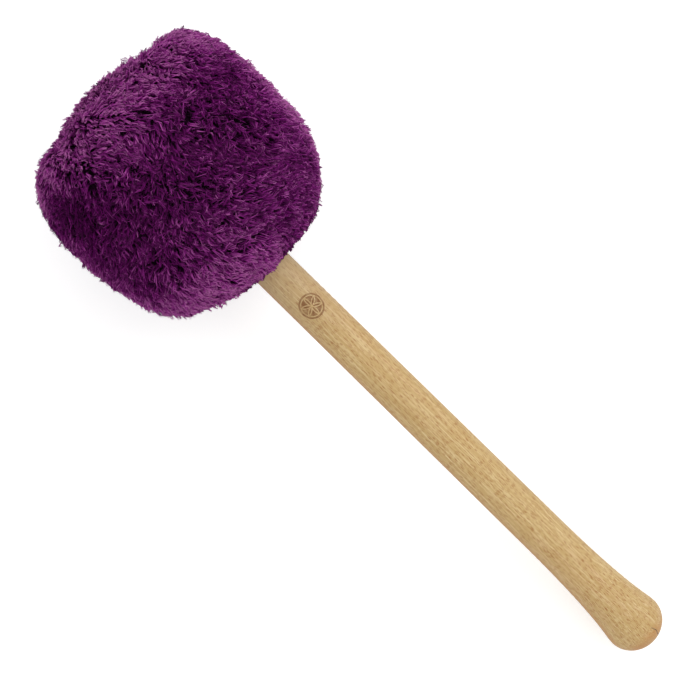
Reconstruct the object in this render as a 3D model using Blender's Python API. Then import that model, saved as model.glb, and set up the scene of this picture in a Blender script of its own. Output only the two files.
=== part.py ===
"""Gong mallet: a turned beech handle that carries a large barrel head, padded and covered in fleece.

The mallet lies on a table as it is put down, on the head and on the butt of the handle. Lengths are in
metres. A place along the mallet is measured on its own axis, from the striking end of the head (0) to the
tip of the butt.
"""

import math

import bmesh
import bpy
import numpy as np

# Overall
OVERALL_LENGTH = 0.400
CLEARANCE = 0.0003
FLOOR_FLAT = 0.0005

# Fleece cover, pile included
HEAD_RADIUS = 0.0632
HEAD_LENGTH = 0.1221
CROWN_AT = 0.0525
PANEL_RADIUS = 0.0368
PANEL_DOME = 0.0080
FRONT_FULLNESS = 2.15
FRONT_SQUARENESS = 2.70
REAR_FULLNESS = 2.86
REAR_SQUARENESS = 2.92
COVER_THICKNESS = 0.0060
GATHER_COUNT = 12
GATHER_DEPTH = 0.0020
GATHER_START = math.radians(35)

# Soft swellings of the head: share of its length, angle from the bottom, reach and height
SWELLINGS = (
    (0.115, math.radians(95), 0.0120, 0.0007),
    (0.770, math.radians(92), 0.0120, 0.0008),
    (0.900, math.radians(94), 0.0120, -0.0007),
    (0.965, math.radians(98), 0.0120, 0.0023),
    (0.115, math.radians(-95), 0.0120, -0.0007),
    (0.245, math.radians(-95), 0.0120, -0.0004),
    (0.600, math.radians(-92), 0.0120, -0.0006),
    (0.770, math.radians(-92), 0.0120, -0.0004),
    (0.900, math.radians(-94), 0.0120, 0.0010),
    (0.965, math.radians(-98), 0.0120, -0.0022),
)

# Slow waves of the fleece over the padding, level on the two flanks: count round, length along and phase
WAVE_HEIGHT = 0.0009
WAVES = ((3, 0.078, 0.9), (7, 0.052, 2.1), (10, 0.041, 4.0))

# The swellings and waves die out towards the seam, the hem and the side that the head rests on
SWELLING_FADE = 0.0100
RESTING_ARC = math.radians(20)
FREE_ARC = math.radians(60)

# Cord that draws the cover in at the handle
CORD_RADIUS = 0.0010

# Thread that joins the end panel to the side of the cover
THREAD_RADIUS = 0.0005
STITCH_COUNT = 30
STITCH_REACH = 0.0009

# Wadding sleeve that gives the head its barrel, at the crown and at its ends
PADDING_THICKNESS = 0.0093
PADDING_EDGE = 0.0030

# Felt wound round the core
FELT_THICKNESS = 0.0060
FELT_GAP = 0.0005
FELT_TURNS = 2.0

# Wooden core
CORE_EDGE = 0.0020
CORE_WEB = 0.0040
RECESS_PLAY = 0.0020
RECESS_COVER = 0.0022

# Screw and washer that hold the handle in the core
SCREW_RADIUS = 0.0025
SCREW_HEAD_RADIUS = 0.0050
SCREW_HEAD_HEIGHT = 0.0032
SCREW_LENGTH = 0.0320
SCREW_POINT = 0.0050
SLOT_WIDTH = 0.0012
SLOT_DEPTH = 0.0015
WASHER_RADIUS = 0.0090
WASHER_THICKNESS = 0.0016
PILOT_MARGIN = 0.0040

# Handle
GRIP_RADIUS_AT_HEAD = 0.0105
GRIP_RADIUS_AT_FLARE = 0.0114
SHOULDER_STEP = 0.0015
SPIGOT_EDGE = 0.0006
FLARE_LENGTH = 0.0900
FLARE_NOSE = 0.0055
FLARE_RUN = 0.0620
BUTT_RADIUS = 0.0156
BUTT_DOME = 0.0140

# Facets
COVER_SEGMENTS = 4 * GATHER_COUNT
PAD_SEGMENTS = 40
HANDLE_SEGMENTS = 40
CORE_SEGMENTS = 36
SCREW_SEGMENTS = 20
PANEL_RINGS = 5
FRONT_RINGS = 5
REAR_RINGS = 7
RINGS_PER_LINING_RING = 2
FELT_STEPS_PER_TURN = 32
CORD_SIDES = 8
CORD_SEGMENTS = 36
STITCH_POINTS = 4
DOME_RINGS = 8
FLARE_RINGS = 8

# Sizes that follow from those above
HEM_RADIUS = GRIP_RADIUS_AT_HEAD + CLEARANCE
CORD_GROOVE = CORD_RADIUS + CLEARANCE
PADDING_BORE = HEAD_RADIUS - COVER_THICKNESS - CLEARANCE - PADDING_THICKNESS
FELT_PITCH = FELT_THICKNESS + FELT_GAP
FELT_INNER_RADIUS = PADDING_BORE - CLEARANCE - FELT_TURNS * FELT_PITCH - FELT_THICKNESS
CORE_RADIUS = FELT_INNER_RADIUS - CLEARANCE
SPIGOT_RADIUS = GRIP_RADIUS_AT_HEAD - SHOULDER_STEP
CORE_BORE_RADIUS = SPIGOT_RADIUS + CLEARANCE
SCREW_HOLE_RADIUS = SCREW_RADIUS + CLEARANCE
RECESS_RADIUS = WASHER_RADIUS + RECESS_PLAY
RECESS_DEPTH = SCREW_HEAD_HEIGHT + WASHER_THICKNESS + 2 * CLEARANCE + RECESS_COVER
FLARE_START = OVERALL_LENGTH - FLARE_LENGTH

# Colours, as linear red, green and blue
BEECH = (0.597, 0.413, 0.205)
CORE_WOOD = (0.420, 0.290, 0.150)
FLEECE = (0.120, 0.014, 0.095)
FELT = (0.560, 0.530, 0.470)
WADDING = (0.720, 0.700, 0.660)
STEEL = (0.560, 0.570, 0.580)
THREAD = (0.090, 0.010, 0.070)

# Roughness of each material
BEECH_ROUGHNESS = 0.45
CORE_ROUGHNESS = 0.60
FLEECE_ROUGHNESS = 0.90
FELT_ROUGHNESS = 0.95
STEEL_ROUGHNESS = 0.35
THREAD_ROUGHNESS = 0.75

# Edges sharper than these stay sharp under smooth shading
SHARP_ANGLE = math.radians(35)
SOFT_SHARP_ANGLE = math.radians(60)

# Numeric limits
MERGE_DISTANCE = 0.000001
HALVINGS = 60
STEEPEST_TILT = math.radians(45)


def clear_scene():
    """Takes the startup objects out."""
    for obj in list(bpy.data.objects):
        bpy.data.objects.remove(obj)


def principled(name, color, roughness, metallic=0.0):
    """A plain Principled material."""
    material = bpy.data.materials.new(name)
    material.use_nodes = True
    shader = material.node_tree.nodes["Principled BSDF"]
    shader.inputs["Base Color"].default_value = (*color, 1.0)
    shader.inputs["Roughness"].default_value = roughness
    shader.inputs["Metallic"].default_value = metallic
    return material


def add_object(name, mesh, material, axis, seat=0.0, sharp=SHARP_ANGLE):
    """Puts a mesh on the mallet's axis, its own zero at the seat."""
    mesh.materials.append(material)
    mesh.shade_smooth()
    mesh.set_sharp_from_angle(angle=sharp)
    obj = bpy.data.objects.new(name, mesh)
    bpy.context.scene.collection.objects.link(obj)
    obj.parent = axis
    obj.location = (seat, 0.0, 0.0)
    return obj


def finished_mesh(name, shape):
    """The mesh of a bmesh shape, with its faces turned outwards."""
    bmesh.ops.recalc_face_normals(shape, faces=shape.faces)
    mesh = bpy.data.meshes.new(name)
    shape.to_mesh(mesh)
    shape.free()
    return mesh


def turned_mesh(name, outline, segments, lift=None):
    """Spins an outline of (along, radius) points round the axis, from the bottom.

    An outline that starts and ends on the axis closes in two poles, and any other closes on itself.
    lift(index, angle) gives how far the outline's point of that index moves along and outwards at an angle.
    """
    shape = bmesh.new()
    place = shape.verts.layers.int.new("place")
    profile = [shape.verts.new((along, 0.0, -radius)) for along, radius in outline]
    for index, vert in enumerate(profile):
        vert[place] = index
    edges = [shape.edges.new(pair) for pair in zip(profile, profile[1:])]
    if outline[0][1] > 0.0:
        edges.append(shape.edges.new((profile[-1], profile[0])))
    bmesh.ops.spin(
        shape,
        geom=profile + edges,
        axis=(1.0, 0.0, 0.0),
        cent=(0.0, 0.0, 0.0),
        steps=segments,
        angle=math.tau,
        use_merge=True,
    )
    bmesh.ops.remove_doubles(shape, verts=shape.verts, dist=MERGE_DISTANCE)
    if lift:
        for vert in shape.verts:
            move_along, move_out = lift(vert[place], math.atan2(vert.co.y, -vert.co.z))
            radius = math.hypot(vert.co.y, vert.co.z)
            vert.co.yz *= (radius + move_out) / radius
            vert.co.x += move_along
    return finished_mesh(name, shape)


def superellipse(turn, fullness, squareness):
    """Reach and rise of a point on reach ** fullness + rise ** squareness = 1, from the crown, at turn 0."""
    reach = math.sin(turn) ** (2 / fullness)
    rise = max(math.cos(turn), 0.0) ** (2 / squareness)
    return reach, rise


def panel_points():
    """The domed end panel of the cover, from its middle to its seam."""
    points = []
    for ring in range(PANEL_RINGS + 1):
        share = ring / PANEL_RINGS
        points.append((PANEL_DOME * share**2, PANEL_RADIUS * share))
    return points


def front_points():
    """The cover from its seam up to its widest ring, which is left out."""
    points = []
    for ring in range(FRONT_RINGS):
        turn = math.pi / 2 * (1 - ring / FRONT_RINGS)
        reach, rise = superellipse(turn, FRONT_FULLNESS, FRONT_SQUARENESS)
        along = CROWN_AT - (CROWN_AT - PANEL_DOME) * reach
        points.append((along, PANEL_RADIUS + (HEAD_RADIUS - PANEL_RADIUS) * rise))
    return points


def rear_turns():
    """The turn of each ring from the crown to the hem at the handle."""
    end = math.acos((HEM_RADIUS / HEAD_RADIUS) ** (REAR_SQUARENESS / 2))
    return [end * ring / REAR_RINGS for ring in range(REAR_RINGS + 1)]


def rear_points():
    """The cover from its widest ring to the hem, drawn in to the handle."""
    points = []
    for turn in rear_turns():
        reach, rise = superellipse(turn, REAR_FULLNESS, REAR_SQUARENESS)
        points.append((CROWN_AT + (HEAD_LENGTH - CROWN_AT) * reach, HEAD_RADIUS * rise))
    return points


def inward(points):
    """The unit normal towards the inside, at each point of an outline from the striking end to the hem."""
    path = np.array(points)
    run = np.gradient(path, axis=0)
    run /= np.linalg.norm(run, axis=1)[:, None]
    return np.column_stack([run[:, 1], -run[:, 0]])


def cover_outline():
    """The whole outer outline of the cover and the index of its seam."""
    panel = panel_points()
    return panel[:-1] + front_points() + rear_points(), len(panel) - 1


def lining(depth):
    """The cover's outline moved inwards by a depth, with fewer rings behind the crown, as an array."""
    outline, _ = cover_outline()
    path = np.array(outline) + depth * inward(outline)
    path[0] = (depth, 0.0)
    crown = len(outline) - REAR_RINGS - 1
    return np.concatenate([path[:crown], path[crown::RINGS_PER_LINING_RING]])


def core_ends():
    """Where the core, the felt and the padding start and end, where the padding is at its thinnest."""
    path = lining(COVER_THICKNESS + CLEARANCE)
    crown = int(path[:, 1].argmax())
    radius = PADDING_BORE + PADDING_EDGE
    front = np.interp(radius, path[: crown + 1, 1], path[: crown + 1, 0])
    rear = np.interp(-radius, -path[crown:, 1], path[crown:, 0])
    return float(front), float(rear)


def web_front():
    """Bottom of the recess in the front of the core, where the washer lies."""
    return core_ends()[0] + RECESS_DEPTH


def screw_seat():
    """Where the underside of the screw's head lies."""
    return web_front() - 2 * CLEARANCE - WASHER_THICKNESS


def shifted(point, direction, distance):
    """A point of an outline moved along a direction."""
    return point[0] + direction[0] * distance, point[1] + direction[1] * distance


def seam_edges():
    """The outer and inner corner of the seam, the run of the outline there and its inward normal."""
    outline, seam = cover_outline()
    normal = inward(outline)[seam]
    outer = outline[seam]
    return outer, shifted(outer, normal, COVER_THICKNESS), (-normal[1], normal[0]), normal


def cover_end_outline():
    """Section of the end panel, from the axis out to the seam and back inside."""
    outer_edge, inner_edge, run, _ = seam_edges()
    outline, seam = cover_outline()
    inside = lining(COVER_THICKNESS)
    section = outline[:seam]
    section.append(shifted(outer_edge, run, -CLEARANCE / 2))
    section.append(shifted(inner_edge, run, -CLEARANCE / 2))
    section += [tuple(inside[index]) for index in range(seam - 1, -1, -1)]
    return section


def hem_points(end):
    """Bore of the hem from its rear edge inwards, with the groove that holds the cord."""
    middle = end - COVER_THICKNESS / 2
    bottom = HEM_RADIUS + 2 * CORD_GROOVE
    return [
        (middle + CORD_GROOVE, HEM_RADIUS),
        (middle + CORD_GROOVE, bottom),
        (middle - CORD_GROOVE, bottom),
        (middle - CORD_GROOVE, HEM_RADIUS),
        (end - COVER_THICKNESS, HEM_RADIUS),
    ]


def cover_side_outline():
    """Section of the side of the cover: out from the seam, over the crown, in to the hem and back inside."""
    outer_edge, inner_edge, run, _ = seam_edges()
    outline, seam = cover_outline()
    inside = lining(COVER_THICKNESS)
    section = [shifted(outer_edge, run, CLEARANCE / 2)]
    section += outline[seam + 1 :]
    section += hem_points(outline[-1][0])
    section += [tuple(inside[index]) for index in range(len(inside) - 1, seam, -1)]
    section.append(shifted(inner_edge, run, CLEARANCE / 2))
    return section


def share_between(low, high, value):
    """How far a value is from one limit to another, from 0 to 1."""
    return min(max((value - low) / (high - low), 0.0), 1.0)


def swelling(along, radius, angle):
    """How far the cover stands out of its plain form at a place on its side."""
    outline, seam = cover_outline()
    side = np.array(outline[seam:])
    height = 0.0
    for count, length, phase in WAVES:
        wave = math.sin(count * angle + math.tau * along / length + phase)
        height += WAVE_HEIGHT * math.cos(angle) ** 2 * wave
    for share, middle, reach, rise in SWELLINGS:
        start = share * HEAD_LENGTH
        out = float(np.interp(start, side[:, 0], side[:, 1]))
        square = radius**2 + out**2 - 2 * radius * out * math.cos(angle - middle)
        away = math.hypot(along - start, math.sqrt(max(square, 0.0)))
        height += rise * math.exp(-((away / reach) ** 2) / 2)
    from_seam = math.hypot(along - side[0, 0], radius - side[0, 1])
    from_hem = math.hypot(along - side[-1, 0], radius - side[-1, 1])
    kept = share_between(0.0, SWELLING_FADE, min(from_seam, from_hem))
    return height * kept * share_between(RESTING_ARC, FREE_ARC, abs(angle))


def side_lift():
    """How the side of the cover swells, and falls into gathers between ridges where it is drawn in."""
    outline, seam = cover_outline()
    normals = inward(outline)
    turns = rear_turns()
    crown = len(outline) - len(turns)

    def lift(index, angle):
        place = index + seam
        if place == seam or place >= len(outline):
            return 0.0, 0.0
        depth = -swelling(*outline[place], angle)
        if place >= crown:
            share = share_between(GATHER_START, turns[-1], turns[place - crown])
            depth += GATHER_DEPTH * math.sin(math.pi * share) * (1 - math.cos(GATHER_COUNT * angle)) / 2
        return normals[place][0] * depth, normals[place][1] * depth

    return lift


def flare_points():
    """The flare that keeps the hand from sliding off, a cubic curve from the grip to the widest ring."""
    widest = OVERALL_LENGTH - BUTT_DOME
    rise = BUTT_RADIUS - GRIP_RADIUS_AT_FLARE
    points = []
    for ring in range(FLARE_RINGS):
        part = 1 - ring / FLARE_RINGS
        back = (
            3 * FLARE_NOSE * (1 - part) ** 2 * part
            + 3 * (FLARE_LENGTH - BUTT_DOME - FLARE_RUN) * (1 - part) * part**2
            + (FLARE_LENGTH - BUTT_DOME) * part**3
        )
        points.append((widest - back, GRIP_RADIUS_AT_FLARE + rise * (1 - part) ** 2 * (1 + 2 * part)))
    return points


def butt_points():
    """The domed butt, half an ellipse from its widest ring to the tip."""
    points = []
    for ring in range(DOME_RINGS + 1):
        turn = math.pi / 2 * ring / DOME_RINGS
        along = OVERALL_LENGTH - BUTT_DOME * (1 - math.sin(turn))
        points.append((along, BUTT_RADIUS * math.cos(turn)))
    points[-1] = (OVERALL_LENGTH, 0.0)
    return points


def handle_outline():
    """Section of the handle: pilot hole, spigot, shoulder, slowly tapered grip, flare and butt."""
    pilot_end = screw_seat() + SCREW_LENGTH + PILOT_MARGIN
    front = web_front() + CORE_WEB + CLEARANCE
    shoulder = core_ends()[1] + CLEARANCE
    section = [
        (pilot_end, 0.0),
        (pilot_end - SCREW_HOLE_RADIUS, SCREW_HOLE_RADIUS),
        (front, SCREW_HOLE_RADIUS),
        (front, SPIGOT_RADIUS - SPIGOT_EDGE),
        (front + SPIGOT_EDGE, SPIGOT_RADIUS),
        (shoulder, SPIGOT_RADIUS),
        (shoulder, GRIP_RADIUS_AT_HEAD),
        (HEAD_LENGTH, GRIP_RADIUS_AT_HEAD),
    ]
    return section + flare_points() + butt_points()


def resting_place():
    """Tilt of the mallet on a flat surface and the height of the axis at the striking end.

    A point of the outline hangs below the axis by its radius, so head and butt both touch where the largest
    along * sin(tilt) + radius * cos(tilt) of each is the same, the head's less what its flat takes off.
    """
    head = np.array(cover_outline()[0])
    butt = np.array(flare_points() + butt_points())
    low, high = 0.0, STEEPEST_TILT

    def depth(path, tilt):
        return (path[:, 0] * math.sin(tilt) + path[:, 1] * math.cos(tilt)).max()

    for _ in range(HALVINGS):
        tilt = (low + high) / 2
        if depth(butt, tilt) < depth(head, tilt) - FLOOR_FLAT:
            low = tilt
        else:
            high = tilt
    return tilt, depth(butt, tilt)


def mallet_axis():
    """The empty that lays the mallet down, centred on the origin along and across."""
    tilt, height = resting_place()
    head = np.array(cover_outline()[0])
    butt = np.array(butt_points())
    start = (head[:, 0] * math.cos(tilt) - head[:, 1] * math.sin(tilt)).min()
    end = (butt[:, 0] * math.cos(tilt) + butt[:, 1] * math.sin(tilt)).max()
    axis = bpy.data.objects.new("mallet_axis", None)
    bpy.context.scene.collection.objects.link(axis)
    axis.location = (-(start + end) / 2, 0.0, height)
    axis.rotation_euler = (0.0, tilt, 0.0)
    return axis


def box_cutter(name, low, high, axis=None):
    """A box that cuts and isn't rendered."""
    shape = bmesh.new()
    bmesh.ops.create_cube(shape, size=1.0)
    size = [b - a for a, b in zip(low, high)]
    middle = [(a + b) / 2 for a, b in zip(low, high)]
    bmesh.ops.scale(shape, vec=size, verts=shape.verts)
    mesh = bpy.data.meshes.new(name)
    shape.to_mesh(mesh)
    shape.free()
    cutter = bpy.data.objects.new(name, mesh)
    bpy.context.scene.collection.objects.link(cutter)
    cutter.location = middle
    cutter.parent = axis
    cutter.hide_render = True
    cutter.display_type = "WIRE"
    return cutter


def cut(obj, cutter):
    """Takes the cutter's space out of an object."""
    modifier = obj.modifiers.new("cut_" + cutter.name, "BOOLEAN")
    modifier.operation = "DIFFERENCE"
    modifier.object = cutter


def build_handle(axis):
    """Turned beech handle with its spigot, one piece."""
    mesh = turned_mesh("handle", handle_outline(), HANDLE_SEGMENTS)
    return add_object("handle", mesh, principled("beech", BEECH, BEECH_ROUGHNESS), axis)


def build_core(axis):
    """Round wooden core, bored for the spigot from behind and recessed in front."""
    front, rear = core_ends()
    length = rear - front
    outline = [
        (length, CORE_BORE_RADIUS),
        (length, CORE_RADIUS - CORE_EDGE),
        (length - CORE_EDGE, CORE_RADIUS),
        (CORE_EDGE, CORE_RADIUS),
        (0.0, CORE_RADIUS - CORE_EDGE),
        (0.0, RECESS_RADIUS),
        (RECESS_DEPTH, RECESS_RADIUS),
        (RECESS_DEPTH, SCREW_HOLE_RADIUS),
        (RECESS_DEPTH + CORE_WEB, SCREW_HOLE_RADIUS),
        (RECESS_DEPTH + CORE_WEB, CORE_BORE_RADIUS),
    ]
    mesh = turned_mesh("core", outline, CORE_SEGMENTS)
    return add_object("core", mesh, principled("core_wood", CORE_WOOD, CORE_ROUGHNESS), axis, front)


def build_washer(axis):
    """Flat washer at the bottom of the recess."""
    outline = [
        (0.0, SCREW_HOLE_RADIUS),
        (WASHER_THICKNESS, SCREW_HOLE_RADIUS),
        (WASHER_THICKNESS, WASHER_RADIUS),
        (0.0, WASHER_RADIUS),
    ]
    mesh = turned_mesh("core_washer", outline, SCREW_SEGMENTS)
    steel = principled("washer_steel", STEEL, STEEL_ROUGHNESS, 1.0)
    return add_object("core_washer", mesh, steel, axis, screw_seat() + CLEARANCE)


def build_screw(axis):
    """Round-headed wood screw through the washer and the web into the spigot, with a slot."""
    edge = SCREW_HEAD_HEIGHT / 2
    bevel = edge * (1 - math.cos(math.radians(45)))
    outline = [
        (-SCREW_HEAD_HEIGHT, 0.0),
        (-SCREW_HEAD_HEIGHT, SCREW_HEAD_RADIUS - edge),
        (-SCREW_HEAD_HEIGHT + bevel, SCREW_HEAD_RADIUS - bevel),
        (-edge, SCREW_HEAD_RADIUS),
        (0.0, SCREW_HEAD_RADIUS),
        (0.0, SCREW_RADIUS),
        (SCREW_LENGTH - SCREW_POINT, SCREW_RADIUS),
        (SCREW_LENGTH, 0.0),
    ]
    mesh = turned_mesh("core_screw", outline, SCREW_SEGMENTS)
    steel = principled("screw_steel", STEEL, STEEL_ROUGHNESS, 1.0)
    screw = add_object("core_screw", mesh, steel, axis, screw_seat())
    front = screw_seat() - SCREW_HEAD_HEIGHT
    reach = SCREW_HEAD_RADIUS + CLEARANCE
    low = (front - CLEARANCE, -SLOT_WIDTH / 2, -reach)
    high = (front + SLOT_DEPTH, SLOT_WIDTH / 2, reach)
    cut(screw, box_cutter("slot_cutter", low, high, axis))
    return screw


def build_felt(axis):
    """One strip of felt wound round the core, its inner face a spiral that climbs a pitch a turn."""
    front, rear = core_ends()
    width = rear - front
    steps = round(FELT_STEPS_PER_TURN * FELT_TURNS)
    shape = bmesh.new()
    sections = []
    for step in range(steps + 1):
        angle = math.tau * step / FELT_STEPS_PER_TURN
        inner = FELT_INNER_RADIUS + FELT_PITCH * step / FELT_STEPS_PER_TURN
        outer = inner + FELT_THICKNESS
        corners = []
        for along, radius in ((0.0, inner), (0.0, outer), (width, outer), (width, inner)):
            corners.append(shape.verts.new((along, radius * math.sin(angle), -radius * math.cos(angle))))
        sections.append(corners)
    shape.faces.new(sections[0])
    shape.faces.new(sections[-1])
    for here, there in zip(sections, sections[1:]):
        for corner in range(len(here)):
            shape.faces.new((here[corner - 1], there[corner - 1], there[corner], here[corner]))
    report_felt_gap(sections)
    mesh = finished_mesh("felt_wrap", shape)
    return add_object("felt_wrap", mesh, principled("felt", FELT, FELT_ROUGHNESS), axis, front)


def report_felt_gap(sections):
    """Prints the least gap between the felt's turns, measured on its points."""
    inner = np.array([math.hypot(*corners[0].co.yz) for corners in sections])
    outer = np.array([math.hypot(*corners[1].co.yz) for corners in sections])
    gap = (inner[FELT_STEPS_PER_TURN:] - outer[:-FELT_STEPS_PER_TURN]).min()
    print(f"felt_wrap: least gap between turns {gap * 1000:.2f} mm")


def under_cover(start, end):
    """Outline just inside the cover between two places along the mallet, from front to rear."""
    path = lining(COVER_THICKNESS + CLEARANCE)
    inside = [tuple(point) for point in path if start < point[0] < end]
    ends = [(place, float(np.interp(place, path[:, 0], path[:, 1]))) for place in (start, end)]
    return [ends[0], *inside, ends[1]]


def towards(point, target, distance):
    """The point at a distance from one point of an outline towards another."""
    way = np.array(target) - np.array(point)
    return shifted(point, way / np.linalg.norm(way), distance)


def build_front_pad(axis):
    """Domed pad between the core and the end panel, with a groove where the seam's stitches lie."""
    _, seam = cover_outline()
    normal = seam_edges()[3]
    rear = core_ends()[0] - CLEARANCE
    path = lining(COVER_THICKNESS + CLEARANCE)
    half = STITCH_REACH + THREAD_RADIUS + 2 * CLEARANCE
    depth = 2 * (THREAD_RADIUS + CLEARANCE)
    near = towards(path[seam], path[seam - 1], half)
    far = towards(path[seam], path[seam + 1], half)
    outline = [tuple(point) for point in path[:seam]]
    outline += [near, shifted(near, normal, depth), shifted(far, normal, depth), far]
    outline += [tuple(point) for point in path[seam + 1 :] if point[0] < rear]
    outline.append((rear, float(np.interp(rear, path[:, 0], path[:, 1]))))
    outline.append((rear, 0.0))
    mesh = turned_mesh("front_pad", outline, PAD_SEGMENTS)
    return add_object("front_pad", mesh, principled("front_felt", FELT, FELT_ROUGHNESS), axis)


def build_padding(axis):
    """Wadding sleeve round the felt, which gives the head its barrel."""
    front, rear = core_ends()
    outline = under_cover(front, rear)
    outline += [(rear, PADDING_BORE), (front, PADDING_BORE)]
    mesh = turned_mesh("padding", outline, PAD_SEGMENTS)
    return add_object("padding", mesh, principled("wadding", WADDING, FELT_ROUGHNESS), axis)


def build_rear_pad(axis):
    """Ring of felt behind the core, round the handle."""
    front = core_ends()[1] + CLEARANCE
    rear = rear_points()[-1][0] - COVER_THICKNESS - CLEARANCE
    outline = under_cover(front, rear)[:-1]
    outline += [(rear, HEM_RADIUS), (front, HEM_RADIUS)]
    mesh = turned_mesh("rear_pad", outline, PAD_SEGMENTS)
    return add_object("rear_pad", mesh, principled("rear_felt", FELT, FELT_ROUGHNESS), axis)


def build_cover_side(axis, fleece):
    """Side of the fleece cover, drawn in to the handle in gathers and flat where it rests."""
    mesh = turned_mesh("cover_side", cover_side_outline(), COVER_SEGMENTS, side_lift())
    cover = add_object("cover_side", mesh, fleece, axis, sharp=SOFT_SHARP_ANGLE)
    reach = 2 * HEAD_RADIUS + HEAD_LENGTH
    start = axis.location.x - HEAD_LENGTH
    cut(cover, box_cutter("floor_cutter", (start, -reach, -HEAD_RADIUS), (start + 2 * reach, reach, 0.0)))
    return cover


def build_cover_end(axis, fleece):
    """Round end panel of the fleece cover, domed by the padding behind it."""
    mesh = turned_mesh("cover_end", cover_end_outline(), COVER_SEGMENTS)
    return add_object("cover_end", mesh, fleece, axis, sharp=SOFT_SHARP_ANGLE)


def build_draw_cord(axis):
    """Cord in the hem, pulled tight round the handle."""
    middle = rear_points()[-1][0] - COVER_THICKNESS / 2
    centre = HEM_RADIUS + CORD_GROOVE
    outline = []
    for side in range(CORD_SIDES):
        angle = math.tau * side / CORD_SIDES
        outline.append((CORD_RADIUS * math.cos(angle), centre + CORD_RADIUS * math.sin(angle)))
    mesh = turned_mesh("draw_cord", outline, CORD_SEGMENTS)
    return add_object("draw_cord", mesh, principled("cord", THREAD, THREAD_ROUGHNESS), axis, middle)


def build_seam_thread(axis):
    """Thread that sews the end panel on from inside, a ring that crosses the seam with each stitch."""
    _, inner_edge, run, normal = seam_edges()
    middle = shifted(inner_edge, normal, CLEARANCE + THREAD_RADIUS)
    count = STITCH_COUNT * STITCH_POINTS
    curve = bpy.data.curves.new("seam_thread", "CURVE")
    curve.dimensions = "3D"
    curve.bevel_depth = THREAD_RADIUS
    curve.bevel_resolution = 0
    spline = curve.splines.new("POLY")
    spline.points.add(count - 1)
    for index, point in enumerate(spline.points):
        angle = math.tau * index / count
        along, radius = shifted(middle, run, STITCH_REACH * math.sin(STITCH_COUNT * angle))
        point.co = (along, radius * math.sin(angle), -radius * math.cos(angle), 1.0)
    spline.use_cyclic_u = True
    curve.materials.append(principled("thread", THREAD, THREAD_ROUGHNESS))
    thread = bpy.data.objects.new("seam_thread", curve)
    bpy.context.scene.collection.objects.link(thread)
    thread.parent = axis
    return thread


def main():
    """Builds the mallet from the handle outwards."""
    clear_scene()
    axis = mallet_axis()
    fleece = principled("fleece", FLEECE, FLEECE_ROUGHNESS)
    build_handle(axis)
    build_core(axis)
    build_washer(axis)
    build_screw(axis)
    build_felt(axis)
    build_front_pad(axis)
    build_padding(axis)
    build_rear_pad(axis)
    build_cover_side(axis, fleece)
    build_cover_end(axis, fleece)
    build_draw_cord(axis)
    build_seam_thread(axis)


main()
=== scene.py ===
"""Looks of a gong mallet: a turned beech handle in a large padded head with a purple long-pile cover.

Lengths are in metres. Shapes are worked out in the mallet's own frame, where x runs along its axis from the
striking end of the head, y across it and z up from the axis, and are then laid down as the mallet lies on a
table. An angle round the axis is 0 at the bottom, a quarter turn towards +y and half a turn at the top.
"""

import logging  # noqa: E402
import math  # noqa: E402
from dataclasses import dataclass, field  # noqa: E402
from enum import Enum  # noqa: E402

import bpy  # noqa: E402
import numpy as np  # noqa: E402
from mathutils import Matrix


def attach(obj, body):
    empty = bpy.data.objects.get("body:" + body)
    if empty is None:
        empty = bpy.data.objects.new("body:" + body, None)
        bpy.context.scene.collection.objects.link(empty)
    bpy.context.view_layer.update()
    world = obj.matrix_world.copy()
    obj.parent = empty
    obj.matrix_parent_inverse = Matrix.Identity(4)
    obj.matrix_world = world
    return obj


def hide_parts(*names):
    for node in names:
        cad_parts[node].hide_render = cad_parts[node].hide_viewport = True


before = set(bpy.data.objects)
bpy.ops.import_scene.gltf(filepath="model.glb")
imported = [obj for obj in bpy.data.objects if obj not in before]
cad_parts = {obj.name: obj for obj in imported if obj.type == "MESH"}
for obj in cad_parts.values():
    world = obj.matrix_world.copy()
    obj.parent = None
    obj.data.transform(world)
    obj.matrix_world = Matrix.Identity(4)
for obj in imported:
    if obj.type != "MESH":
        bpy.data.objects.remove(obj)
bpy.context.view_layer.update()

LOG = logging.getLogger("gong_mallet")
BODY = "root"

# Each use of noise adds a number of its own to the seed
SEED = 20417

# Clearance between neighbours, and where the core, the felt and the padding start and end in the solids
GAP = 0.0003
CORE_FRONT = 0.021803086
CORE_REAR = 0.092573759

# Factors that mix a lattice cell's three numbers into one, and that one into three steps of jitter
CELL_FACTORS = (73856093, 19349663, 83492791)
JITTER_FACTORS = (2654435761, 40503, 2246822519)
JITTER_SHIFT = 7
JITTER_STEPS = 1024

# How far the pith of the tree lies to the side of the mallet's axis and below it
PITH_ASIDE = 0.021
PITH_BELOW = 0.034


class Loop(Enum):
    """How the rows of a surface close: the last on the first, or each end in a pole."""

    RING = "ring"
    POLES = "poles"


class Slot(Enum):
    """Kinds of finish, one passed with each piece."""

    BEECH = "beech"
    CORE_WOOD = "core_wood"
    STEEL = "steel"
    FELT = "felt"
    WADDING = "wadding"
    FLEECE = "fleece"
    THREAD = "thread"


@dataclass(frozen=True)
class Lie:
    """How the solids lie: the axis falls towards the butt, so the head and the butt both touch the table."""

    tilt: float = 0.14732767641544342
    height: float = 0.07219842076301575
    start: float = -0.1974763721227646
    floor: float = GAP

    def down(self, points: np.ndarray) -> np.ndarray:
        """Lays points of the mallet's frame down, none of them lower than the table.

        Args:
            points: Places in the mallet's own frame, shape (..., 3).

        Returns:
            The places in the row frame, turned about y by the tilt and moved to the start of the axis.
        """
        x, y, z = points[..., 0], points[..., 1], points[..., 2]
        laid = np.stack(
            [
                self.start + x * math.cos(self.tilt) + z * math.sin(self.tilt),
                y,
                self.height - x * math.sin(self.tilt) + z * math.cos(self.tilt),
            ],
            axis=-1,
        )
        laid[..., 2] = np.maximum(laid[..., 2], self.floor)
        return laid


LIE = Lie()


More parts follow.
